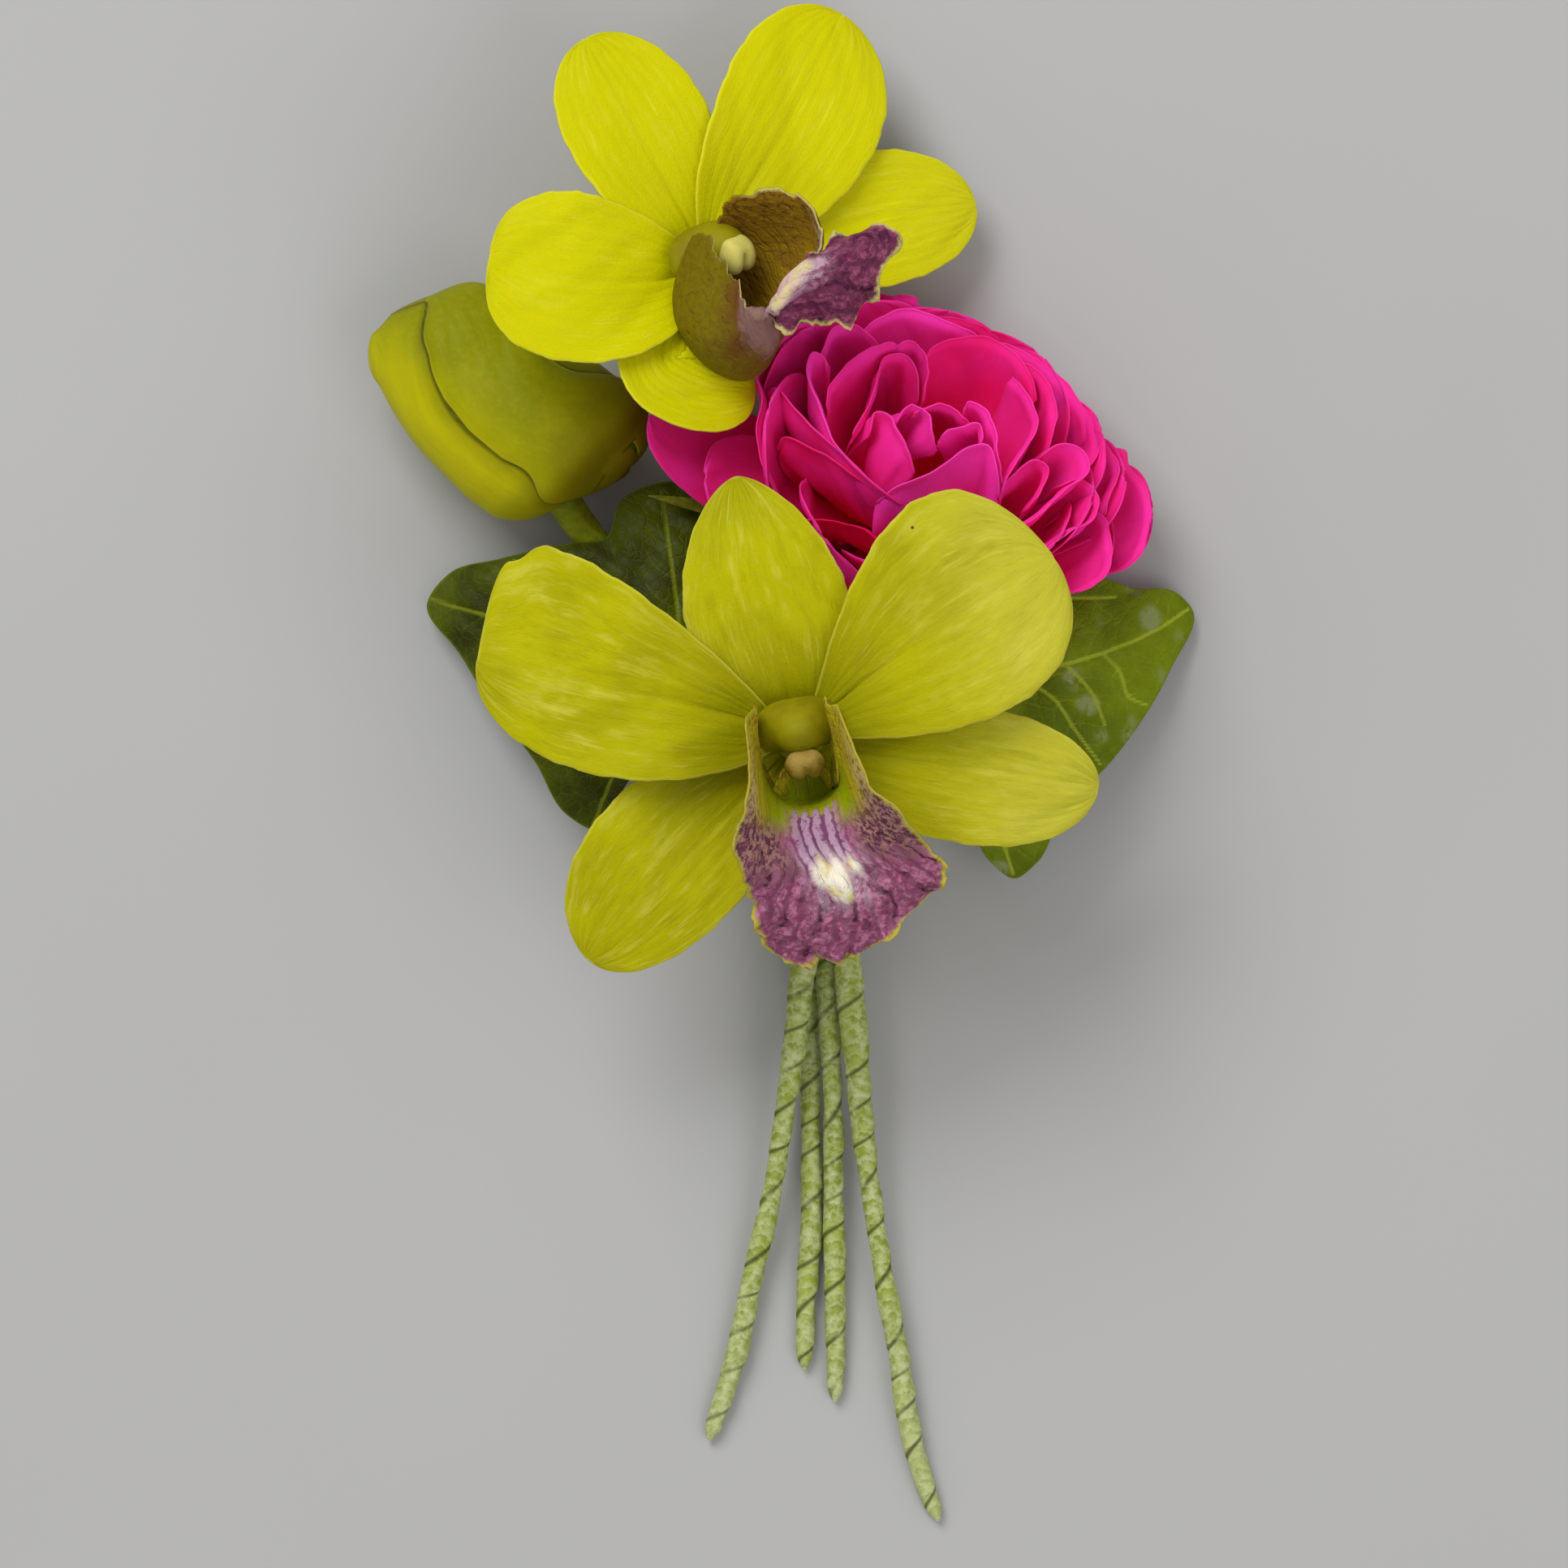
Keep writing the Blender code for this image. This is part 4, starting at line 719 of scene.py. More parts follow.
def lip_paint(name, field, bright, vein, rim, side_lobe, stipple, underside, throat, cream, dappled):
    """The lip: a mauve field with dark veins that fan from the throat, a ragged yellow rim, a cream callus,
    and stippled side lobes round a green throat whose tint is painted shade of the lip's inner wall."""
    paint = Paint(name, **{"Subsurface Weight": 0.05, "Subsurface Scale": 0.0006, "Specular IOR Level": 0.12})
    u, v, edge, fan, reach, arc, callus, front = (
        paint.place(n) for n in ("along", "across", "edge", "fan", "reach", "arc", "callus", "front"))
    spot = paint.object_place()
    aside = v.size()
    wander = paint.noise(spot, 380.0, 3.0)
    mottle = paint.noise(spot, 1300.0, 4.0, 0.7)
    colour = paint.mix(mottle.rise(0.36, 0.66), field, bright)
    colour = paint.mix(wander.rise(0.5, 0.34) * 0.4, colour, vein)
    lines = (fan * 44.0 + wander * 9.0).wave().rise(0.6, 0.98) * reach.rise(4.0, 9.0)
    branches = (fan * 21.0 + wander * 14.0).wave().rise(0.82, 1.0) * reach.rise(5.0, 9.0)
    colour = paint.mix((lines * 0.55 + branches * 0.5) * mottle.rise(0.3, 0.55), colour, vein)
    # Net of brown-purple round the throat, over a paler ground
    shoulder = u.rise(0.64, 0.52) * aside.rise(0.22, 0.45)
    net = paint.mix(mottle.rise(0.42, 0.56), tint("b08a78"), vein)
    colour = paint.mix(shoulder * 0.8, colour, net)
    streak = (arc * 5.0 + wander * 8.0 + mottle * 5.0).wave().rise(0.1, 0.6)
    ragged_throat = u + (streak - 0.5) * 0.03
    floor = arc.size().rise(4.2, 1.8) * ragged_throat.rise(0.385, 0.41) * u.rise(0.70, 0.56)
    pale = paint.mix(streak * mottle.rise(0.25, 0.5), tint("6d3c62"), tint("b08fa8"))
    colour = paint.mix(floor * 0.9, colour, pale)
    halo = aside.rise(0.5, 0.05) * u.rise(0.50, 0.60) * u.rise(0.82, 0.70)
    colour = paint.mix(halo * (streak * 0.5 + 0.2) * mottle.rise(0.25, 0.6), colour, tint("d6bccb"))
    waxy = paint.mix(wander.rise(0.42, 0.6), cream, tint("d8cd86"))
    colour = paint.mix(callus.rise(0.2, 0.75) * mottle.rise(0.1, 0.45) * dappled, colour, waxy)
    # Side lobes with rays from the base and stipples, round the throat; near the midline the throat tint is painted
    # shade of the lip's inner wall
    rays = paint.noise(paint.vector(v * 30.0, u * 6.0), 1.0, 2.0)
    lobe = paint.mix(aside.rise(0.36, 0.62), throat, side_lobe)
    lobe = paint.mix(rays.rise(0.5, 0.6) * 0.35, lobe, stipple)
    lobe = paint.mix(mottle.rise(0.5, 0.6) * aside.rise(0.5, 0.75) * 0.75, lobe, stipple)
    lower = u.rise(0.36, 0.46) * aside.rise(0.55, 0.8)
    lobe = paint.mix(lower * mottle.rise(0.6, 0.4) * 0.8, lobe, tint("cdb89a"))
    colour = paint.mix(u.rise(0.50, 0.42) * (1 - floor), colour, lobe)
    ragged = edge + (mottle - 0.5) * 1.6
    colour = paint.mix(ragged.rise(0.75, 0.15) * u.rise(0.16, 0.26) * 0.9, colour, rim)
    back = paint.mix(mottle.rise(0.35, 0.7), underside, tint("6a5c08"))
    back = paint.mix((u + (wander - 0.5) * 0.2).rise(0.34, 0.5) * 0.8, back, tint("64301a"))
    back = paint.mix((u + (mottle - 0.5) * 0.1).rise(0.45, 0.5) * 0.55, back, tint("9c7c7c"))
    colour = paint.mix(front, back, colour)
    height = mottle * 0.8 + (lines + branches) * -0.4 + wander * 0.5
    return paint.finish(colour, mottle * 0.2 + 0.5, height, 0.16)


def plain_plant_paint(name, body, deep, scale=700.0, roughness=0.4, depth=0.06):
    """Smooth plant tissue: soft mottling between two greens and a fine grain."""
    paint = Paint(name, **{"Subsurface Weight": 0.1, "Subsurface Scale": 0.001, "Specular IOR Level": 0.15})
    spot = paint.object_place()
    mottle = paint.noise(spot, scale, 3.0, 0.6)
    colour = paint.mix(mottle.rise(0.35, 0.68), body, deep)
    return paint.finish(colour, mottle * 0.15 + roughness, paint.noise(spot, scale * 4, 2.0), depth)


# Bud

# The bud's axis in plan, from its base to its tip. Stations are the distance along it, the shift of the
# middle to the upper right, and the half-width
BUD_BASE, BUD_TIP = np.array([-20.8, 32.4, 8.7]), np.array([-43.7, 52.0, 8.7])
BUD_STATIONS = [
    (-1.6, 4.2, 0.9), (-0.8, 4.0, 3.2), (1.0, 3.1, 5.8), (3.0, 1.4, 8.3), (5.5, 0.1, 9.5), (9.0, -0.4, 9.8),
    (13.0, -0.6, 9.6), (18.8, -0.8, 8.8), (22.7, -0.4, 8.1), (25.3, -0.5, 7.0), (27.0, -1.2, 5.6),
    (28.4, -1.8, 4.0), (29.6, -2.2, 2.2), (30.2, -2.3, 0.9),
]
BUD_FLATNESS = 0.84
BUD_SEPAL_THICKNESS = 0.9
# Distances along the bud, and there the angle round it, from its right edge over its top, at which each
# sepal starts and ends. The middle one lies on the other two
BUD_SEPAL_PLACES = (0.6, 3.0, 5.5, 10.0, 15.0, 19.0, 23.0, 26.0, 27.6)
BUD_SEPALS = {
    "left": ((70, 70, 70, 70, 70, 70, 50, 20, -20), (258, 258, 258, 258, 258, 258, 258, 262, 265)),
    "right": ((-92, -92, -92, -92, -92, -92, -92, -90, -88), (62, 62, 62, 62, 62, 62, 52, 20, -10)),
    "middle": ((0, 4, 10, 40, 37, 14, 4, 2, 12), (168, 140, 118, 116, 116, 111, 100, 78, 38)),
}


def bud_surface(distance, angle, proud):
    """Points of the bud's outside at distances along it and angles round it, standing proud by a length."""
    axis = unit(BUD_TIP - BUD_BASE)
    right = np.cross(axis, UPWARDS)
    stations = [station[0] for station in BUD_STATIONS]
    shift, half = smooth(stations, [station[1:] for station in BUD_STATIONS], distance).T
    middle = BUD_BASE + distance[:, None] * axis + shift[:, None] * right
    half = np.maximum(half, 0.4)[:, None, None] + np.broadcast_to(proud, angle.shape)[..., None]
    # A little boxy, as the three sepals are broad: the radius is greatest between right and top
    half = half * (1 + 0.02 * np.cos(3 * angle - 1.2))[..., None]
    round_it = np.cos(angle)[..., None] * right + BUD_FLATNESS * np.sin(angle)[..., None] * UPWARDS
    return middle[:, None] + half * round_it


def bud(paints):
    """The half-open bud: a heart, two sepals laid over it and a third laid over those, thin at their rims."""
    turn = np.linspace(0, 2 * np.pi, 96, endpoint=False)
    distance = BUD_STATIONS[0][0] + (BUD_STATIONS[-1][0] - BUD_STATIONS[0][0]) * np.linspace(0.01, 0.99, 80)
    grid = bud_surface(distance, np.tile(turn, (80, 1)), -0.6)
    piece("bud_heart", [closed_tube(grid, grid_places(grid))], paints["bud"], "bud_green", "orchid_bud")
    for name, (starts, ends) in BUD_SEPALS.items():
        top = name == "middle"
        distance = np.linspace(-1.2 + 1.4 * top, 27.8 if top else 29.9, 110)
        share = np.linspace(-1, 1, 72)
        start = np.radians(smooth(BUD_SEPAL_PLACES, starts, np.clip(distance, 0.6, 27.6)))[:, None]
        end = np.radians(smooth(BUD_SEPAL_PLACES, ends, np.clip(distance, 0.6, 27.6)))[:, None]
        angle = (start + end) / 2 + (end - start) / 2 * share
        u = (distance / 30.0)[:, None] + 0 * share
        v = share + 0 * u
        edge = np.minimum((1 - np.abs(v)) * (end - start) * 4.5, (distance[-1] - distance)[:, None] + 0.2)
        # The top sepal swells beside its long free edge, and dips to the one below right at it
        proud = 0.1 + top * (0.5 + 0.5 * ease(edge, 0.0, 2.0)) * ease(distance, 0.2, 3.0)[:, None]
        grid = bud_surface(distance, angle, proud)
        ribs = 0.02 * np.sin(26 * v) * ease(edge, 0.5, 2.5)
        grid = grid + (ribs + 0.16 * ripple(1.3 * u + 0.5 * v, 31, 1.0))[..., None] * normals(grid)
        thickness = 0.2 + (BUD_SEPAL_THICKNESS - 0.2) * np.sqrt(np.clip(edge / 2.5, 0, 1))
        # How near each point of the lower sepals is to the rim that lies on them, for the painted shadow beside that
        # rim
        first, last = (
            np.radians(smooth(BUD_SEPAL_PLACES, side, np.clip(distance, 0.6, 27.6)))[:, None]
            for side in BUD_SEPALS["middle"])
        beyond = 9.0 * np.maximum(angle - last, first - angle)
        shade = np.clip(1 - np.abs(beyond) / 2.5, 0, 1) * (not top)
        places = {"along": u, "across": v, "edge": edge, "shade": shade}
        piece(f"bud_{name}_sepal", [sheet(grid, thickness, places)], paints["bud_sepal"], "bud_green", "orchid_bud")
    piece("bud_stalk", [flower_stalk("bud", (1.5, 2.0))], paints["stalk"], "bud_green", "orchid_bud")


def bud_paint(name):
    """The bud's waxy green: olive in front, yellower to the left, brown towards its base, faint long grain."""
    paint = Paint(name, **{"Subsurface Weight": 0.05, "Subsurface Scale": 0.001, "Specular IOR Level": 0.08})
    spot = paint.object_place()
    x = paint.node("ShaderNodeSeparateXYZ", {}, [spot], 0)
    y = paint.node("ShaderNodeSeparateXYZ", {}, [spot], 1)
    u, v, edge, shade = (paint.place(n) for n in ("along", "across", "edge", "shade"))
    mottle = paint.noise(spot, 180.0, 3.0)
    freckles = paint.noise(spot, 1600.0, 3.0, 0.6)
    grain = paint.noise(paint.vector(v * 22.0, u * 6.0), 1.0, 3.0, 0.6)
    # Distance in metres from the bud's axis: negative on its lower left side
    beside = x * 0.65 + y * 0.76 - 0.0108
    colour = paint.mix((beside + mottle * 0.004).rise(0.002, -0.006), tint("828402"), tint("b6b004"))
    colour = paint.mix(grain.rise(0.45, 0.75) * 0.16, colour, tint("6e7402"))
    colour = paint.mix(mottle.rise(0.5, 0.3) * 0.3, colour, tint("a09c08"))
    colour = paint.mix(freckles.rise(0.45, 0.75) * 0.2, colour, tint("a8a818"))
    chin = (x + y * -0.35).rise(-0.044, -0.028)
    colour = paint.mix(chin * 0.7, colour, tint("725c02"))
    # Painted shadow of the top sepal's rim on the two sepals below it
    colour = paint.mix(shade * 0.4 + shade.rise(0.72, 0.96) * 0.5, colour, tint("3c3a02"))
    colour = paint.mix(edge.rise(0.45, 0.15) * 0.45, colour, tint("b0ac1c"))
    return paint.finish(colour, mottle * 0.12 + 0.45, grain * 0.3 + freckles * 0.5, 0.06)


# Rose

ROSE_BASE, ROSE_AXIS = np.array([13.4, 27.5, 8.2]), unit([0.22, 0.49, 0.843])
ROSE_SEED = 11
# Petals whose rims show from above: how much painted light each one's colour carries (low is crimson painted shade,
# high is lit hot pink), and points of its rim as X, Y and height up the rose's axis, from where the rim comes out
# from under its neighbours to where it goes back
ROSE_RIMS = [
    ("front cup", 1, [
        (10.5, 30.6, 15.5), (11.8, 31.6, 18), (16.4, 33.8, 20), (20.7, 36.6, 21), (22.2, 36.7, 21),
        (23.3, 34.1, 20), (23.6, 31.3, 17)]),
    ("lower left, inner", 0.45, [
        (-1.4, 41.7, 13.5), (-0.3, 42.6, 16), (2.0, 40.2, 17), (4.6, 37.6, 18), (8.2, 34.1, 18.5),
        (11.1, 31.6, 18.3), (13.1, 30.2, 17), (14.6, 29.4, 14)]),
    ("lower left, outer", 0.3, [
        (-0.0, 35.9, 12.5), (0.7, 37.1, 15), (4.6, 35.6, 16.5), (9.0, 32.5, 17), (12.8, 30.2, 16.6),
        (14.9, 29.1, 14)]),
    ("lowest", 0.12, [
        (1.3, 27.2, 11), (2.2, 27.9, 12.5), (4.6, 28.2, 13.5), (7.6, 27.8, 13.5), (10.8, 26.2, 12.5),
        (12.4, 24.4, 11)]),
    ("far left", 0.5, [
        (-0.0, 30.0, 10), (-1.9, 35.3, 13), (-2.3, 37.6, 14), (-1.7, 41.4, 15.5), (-2.7, 44.6, 16),
        (-1.8, 46.3, 16.5), (-0.3, 47.4, 17), (2.2, 49.4, 17), (5.5, 49.9, 17), (7.9, 49.5, 15.5)]),
    ("folded", 0.75, [
        (12.3, 30.6, 16), (8.7, 33.8, 18), (6.0, 36.7, 18.8), (4.6, 40.8, 19.2), (3.3, 44.6, 19.2),
        (3.9, 46.4, 19.4), (5.2, 45.9, 18.6), (5.5, 43.8, 16.5)]),
    ("upper left, round", 0.6, [
        (4.5, 44.6, 16), (4.9, 47.0, 17.5), (5.8, 48.6, 18), (7.6, 49.5, 18), (9.5, 48.7, 18),
        (10.6, 47.4, 17.5), (11.2, 45.2, 15.5)]),
    ("back", 0.7, [
        (8.3, 47.7, 15), (9.9, 49.6, 16.5), (11.8, 50.7, 17), (14.9, 51.1, 17), (18.1, 50.0, 17),
        (21.3, 48.4, 16.5), (23.2, 46.4, 15)]),
    ("topmost", 0.45, [
        (10.2, 51.8, 12.5), (10.6, 52.9, 13.5), (12.8, 52.9, 14), (15.0, 52.7, 14), (15.3, 51.1, 12.5)]),
    ("back, behind", 0.3, [
        (16.1, 50.5, 13), (18.1, 50.5, 14.3), (21.6, 49.8, 14.5), (23.5, 48.4, 14), (25.0, 46.7, 12.5)]),
    ("inner left arc", 0.5, [
        (5.3, 40.2, 17), (5.8, 42.3, 18.5), (7.6, 44.9, 19), (9.9, 46.4, 19), (12.1, 47.4, 18.8),
        (13.6, 46.7, 17)]),
    ("inner upright", 0.55, [
        (12.2, 45.9, 16.5), (13.1, 47.1, 18), (14.6, 47.3, 18.3), (15.8, 46.2, 18.2), (16.1, 44.0, 18),
        (15.9, 41.4, 16.5)]),
    ("back right, wide", 0.35, [
        (15.7, 44.6, 16), (16.4, 46.7, 17.3), (18.4, 47.8, 17.6), (22.2, 48.1, 17.6), (25.7, 46.3, 17.3),
        (27.3, 44.0, 17), (27.8, 41.1, 15.5)]),
    ("right, curled", 0.6, [
        (24.8, 43.9, 16.5), (25.8, 43.0, 18.2), (27.1, 41.1, 18.4), (27.7, 39.4, 18.4),
        (26.6, 36.7, 18.4), (24.8, 33.8, 18.3), (23.5, 31.5, 17.6), (23.1, 30.3, 15.5)]),
    ("right, second", 0.4, [
        (25.1, 45.5, 15.5), (26.6, 45.3, 16.5), (28.4, 44.2, 16.8), (29.5, 42.3, 17), (29.8, 39.8, 17),
        (29.2, 36.7, 16.8), (28.2, 34.5, 15)]),
    ("right rim, upper", 0.5, [
        (23.1, 48.0, 14), (26.9, 46.7, 15), (30.1, 44.3, 15), (32.8, 41.1, 15), (33.7, 39.1, 14.3),
        (33.9, 37.0, 13)]),
    ("right rim, middle", 0.45, [
        (30.8, 42.3, 13), (33.0, 40.7, 14.3), (34.6, 37.6, 14.5), (34.3, 35.3, 14.5), (32.8, 33.2, 14),
        (32.0, 31.5, 12.5)]),
    ("right rim, lower", 0.5, [
        (33.5, 38.8, 11.5), (34.8, 37.6, 12.8), (36.6, 35.0, 13), (36.8, 33.5, 13), (36.1, 31.5, 12.5),
        (35.1, 28.8, 11)]),
    ("right, long", 0.6, [
        (27.5, 34.7, 15.5), (29.5, 36.4, 16.8), (31.3, 36.7, 17), (32.9, 35.8, 16.8), (33.2, 33.8, 16.3),
        (30.7, 31.6, 16), (28.1, 29.1, 15), (25.1, 27.4, 13)]),
    ("right, arched", 0.5, [
        (22.9, 30.6, 15.5), (23.5, 31.5, 17), (25.1, 33.5, 17.5), (27.5, 34.8, 17.5), (28.6, 33.9, 17),
        (28.2, 31.8, 16), (26.3, 29.4, 14)]),
    ("right, low", 0.5, [
        (30.1, 32.0, 13.5), (32.6, 32.9, 14.8), (34.3, 30.9, 15), (33.6, 28.2, 14.7), (31.0, 26.9, 14),
        (28.4, 25.2, 12.5)]),
    ("lower right, smooth", 0.55, [
        (33.5, 29.6, 11), (34.9, 29.1, 12), (35.7, 26.5, 12.3), (35.7, 23.0, 12), (33.9, 21.2, 11),
        (32.0, 20.3, 9.5)]),
    ("far right", 0.5, [
        (35.7, 35.3, 8.5), (36.7, 36.5, 9.5), (37.8, 36.3, 9.8), (38.3, 34.1, 9.8), (39.8, 32.3, 9.6),
        (40.5, 28.2, 9.3), (39.5, 25.0, 9), (37.4, 22.9, 8.6), (35.2, 22.2, 7.8)]),
    ("heart, front", 0.9, [
        (16.4, 36.4, 19), (17.1, 37.3, 20.8), (18.8, 38.0, 21.2), (21.0, 38.4, 21.2), (21.2, 36.7, 20.3),
        (20.9, 35.0, 18.5)]),
    ("heart, middle", 0.55, [
        (14.6, 39.1, 19), (16.1, 39.9, 20.4), (18.4, 39.9, 20.6), (19.9, 38.6, 20.3),
        (20.5, 37.0, 18.5)]),
    ("heart, right", 0.8, [
        (19.6, 39.9, 18.5), (20.1, 40.9, 20), (21.4, 40.5, 20.6), (22.6, 38.2, 20.6), (23.1, 35.0, 20),
        (23.4, 32.2, 18)]),
    ("heart, left", 0.6, [
        (10.2, 37.6, 17), (11.2, 39.7, 18.6), (12.3, 39.4, 19), (13.6, 37.2, 19.2), (14.6, 35.3, 18.5),
        (15.3, 33.2, 16.5)]),
    ("heart, ragged", 0.7, [
        (13.1, 38.2, 18), (14.6, 40.2, 19.8), (16.1, 39.5, 20), (17.0, 37.3, 19.6), (17.5, 35.0, 17.5)]),
    ("heart, behind", 0.45, [
        (8.3, 37.0, 16.5), (10.5, 41.7, 18), (12.3, 46.0, 18.2), (13.7, 46.1, 18), (15.0, 44.3, 17.6),
        (15.4, 41.4, 16.5)]),
]
# Petals that show from the sides only: angle, radius of the tip from the axis, height of the tip, half-width
ROSE_OUTSIDE = [
    (-8, 17.8, 14.8, 7.0), (330, 16.0, 14.0, 8.0), (300, 15.0, 14.0, 8.6), (265, 14.6, 13.4, 8.8),
    (222, 16.0, 13.2, 9.0),
    (172, 19.0, 17.2, 8.4), (142, 20.2, 16.6, 8.0), (112, 20.4, 15.2, 8.6), (84, 19.8, 14.4, 9.4),
    (52, 19.4, 14.8, 9.6), (17, 19.8, 15.0, 7.6), (6, 22.2, 12.6, 7.6), (2, 26.6, 8.2, 8.6),
    (-14, 22.2, 8.2, 7.8), (320, 19.0, 7.0, 9.4), (245, 19.0, 8.0, 9.6),
    (169, 31.0, 8.0, 6.4), (183, 24.0, 7.4, 7.4), (62, 22.5, 5.8, 8.6),
]
CALYX_SEPALS = (178, 250, 322, 34, 106)


def rose_frame():
    """Two directions across the rose's axis: to the right, and up the layout."""
    right = unit(SIDEWAYS - np.dot(SIDEWAYS, ROSE_AXIS) * ROSE_AXIS)
    return right, np.cross(ROSE_AXIS, right)


def rose_point(angle, radius, height):
    """Point at an angle round the rose's axis, a radius from it and a height up it."""
    right, up = rose_frame()
    outward = np.cos(angle) * right + np.sin(angle) * up
    return ROSE_BASE + radius * outward + height * ROSE_AXIS


def petal_skin(grid, places, seed, painted_light):
    """A petal's shell from its grid: a waved rim, a soft swell, and a rim thinner than its middle."""
    u, v, edge = places["along"], places["across"], places["edge"]
    frill = 0.16 * ripple(1.1 * v + 0.5 * u, seed, 1.0) * ease(edge, 3.0, 0.0) * ease(u, 0.4, 0.9)
    swell = 0.3 * ripple(1.1 * u + 0.7 * v, seed + 3, 1.0) * ease(edge, 0.0, 3.0)
    grid = grid + (frill + swell)[..., None] * normals(grid)
    thickness = 0.12 + 0.26 * np.sqrt(np.clip(edge / 3.0, 0, 1))
    return sheet(grid, thickness, dict(places, painted_light=np.full(u.shape, painted_light)))


def rim_petal(rim, painted_light, seed):
    """A petal from its rim: a bowl that rises from the rose's base, bellies out and meets the rim.

    At the share u of the way up, its distance from the axis is the rim's times 1 - (1 - u)^1.7, plus a belly
    of the sine of 180 u degrees, and its height is the rim's times u^1.2. The rim rolls out a little.
    """
    right, up = rose_frame()
    rim = np.array(rim, float)
    across = np.stack([right[:2], up[:2]], axis=1)
    offset = rim[:, :2] - ROSE_BASE[:2] - rim[:, 2:] * ROSE_AXIS[:2]
    local = np.concatenate([np.linalg.solve(across, offset.T).T, rim[:, 2:]], axis=1)
    stations = chord_stations(local)
    v = np.linspace(0, 1, 41)
    edge_line = smooth(stations, local, v * stations[-1])
    plan, top = edge_line[:, :2], edge_line[:, 2]
    middle = plan[len(plan) // 2]
    reach = np.linalg.norm(plan, axis=1, keepdims=True)
    facing = unit(middle / max(np.linalg.norm(middle), 0.5) + 0.6 * plan / (reach + 1.0))
    s = np.linspace(0.03, 1, 40)
    u = (1 - (1 - s) ** 1.6)[:, None, None]
    belly = max(1.2, 5.0 - 0.3 * reach.mean())
    plan = plan * (1 - (1 - u) ** 1.7) + (belly * np.sin(np.pi * u) + 0.7 * ease(u, 0.9, 1.0) ** 2) * facing
    height = top * u[..., 0] ** 1.2 - 0.25 * ease(u[..., 0], 0.92, 1.0) ** 2
    grid = ROSE_BASE + plan[..., 0:1] * right + plan[..., 1:2] * up + height[..., None] * ROSE_AXIS
    u, v = u[..., 0] + 0 * v, 2 * v - 1 + 0 * u[..., 0]
    width = stations[-1] * u * 0.6
    edge = np.minimum((1 - u) * top.mean() * 1.2, (1 - np.abs(v)) * width)
    return petal_skin(grid, {"along": u, "across": v, "edge": edge}, seed, painted_light)


def rose_petal(angle, tip_radius, tip_height, half, twist, wave, seed):
    """An outer petal: its spine runs from the base over a belly to the tip, it cups round the axis, and its
    rim rolls back a little and is finely waved."""
    belly_radius, belly_height = 0.6 * tip_radius + 3.0, 0.36 * tip_height
    profile = [
        (0.8, 0.4), (0.62 * belly_radius, 0.3 * belly_height), (belly_radius, belly_height),
        (0.3 * belly_radius + 0.7 * tip_radius + 0.6, 0.3 * belly_height + 0.7 * tip_height),
        (tip_radius, tip_height),
    ]
    spine = [rose_point(angle, radius, height) for radius, height in profile]
    inward = rose_point(angle, 0, 0) - rose_point(angle, 1, 0)
    cup = min(1.35, 0.8 * half / belly_radius)
    grid, places = blade(
        spine, inward, (half, half), (0.75, 0.75), (0.34, 0.34), (cup * 1.2, cup * 0.8), twist, wave, 3.0,
        rows=40, columns=33, recurve=0.9, seed=seed,
    )
    return petal_skin(grid, places, seed, 0.45)


def rose(paints):
    """The rose: its petals in one piece, and its calyx with hip, five sepals and stalk."""
    draw = np.random.RandomState(ROSE_SEED)
    shells = []
    for k, (_, painted_light, rim) in enumerate(ROSE_RIMS):
        shells.append(rim_petal(rim, painted_light, 200 + k))
    for k, (degrees, tip_radius, tip_height, half) in enumerate(ROSE_OUTSIDE):
        twist, wave = 0.12 + draw.uniform(-0.06, 0.06), draw.uniform(0.2, 0.8)
        shells.append(rose_petal(np.radians(degrees), tip_radius, tip_height, half, twist, wave, 100 + k))
    piece("rose_bloom", shells, paints["rose"], "rose_pink", "rose_petals")

    hip = ball(rose_point(0, 0, -4.4), (2.3, 2.3, 2.3), 32, 20)
    shells = [closed_tube(hip, grid_places(hip)), flower_stalk("rose", (1.4, 1.6))]
    for degrees in CALYX_SEPALS:
        angle = np.radians(degrees)
        length = 29.0 if degrees == CALYX_SEPALS[0] else 11.0
        profile = [(0.6, -4.0), (length * 0.35, -3.4), (length * 0.7, -2.4), (length, -1.4)]
        spine = [rose_point(angle, radius, height) for radius, height in profile]
        grid, places = blade(spine, ROSE_AXIS, (1.7, 1.7), (0.35, 0.35), (0.8, 0.8), (0.4, 0.6), rows=40, columns=13)
        thickness = 0.15 + 0.45 * np.sqrt(np.clip(places["edge"] / 1.2, 0, 1))
        shells.append(sheet(grid, thickness, places))
    piece("rose_calyx_dressed", shells, paints["calyx"], "calyx_green", "rose_calyx")


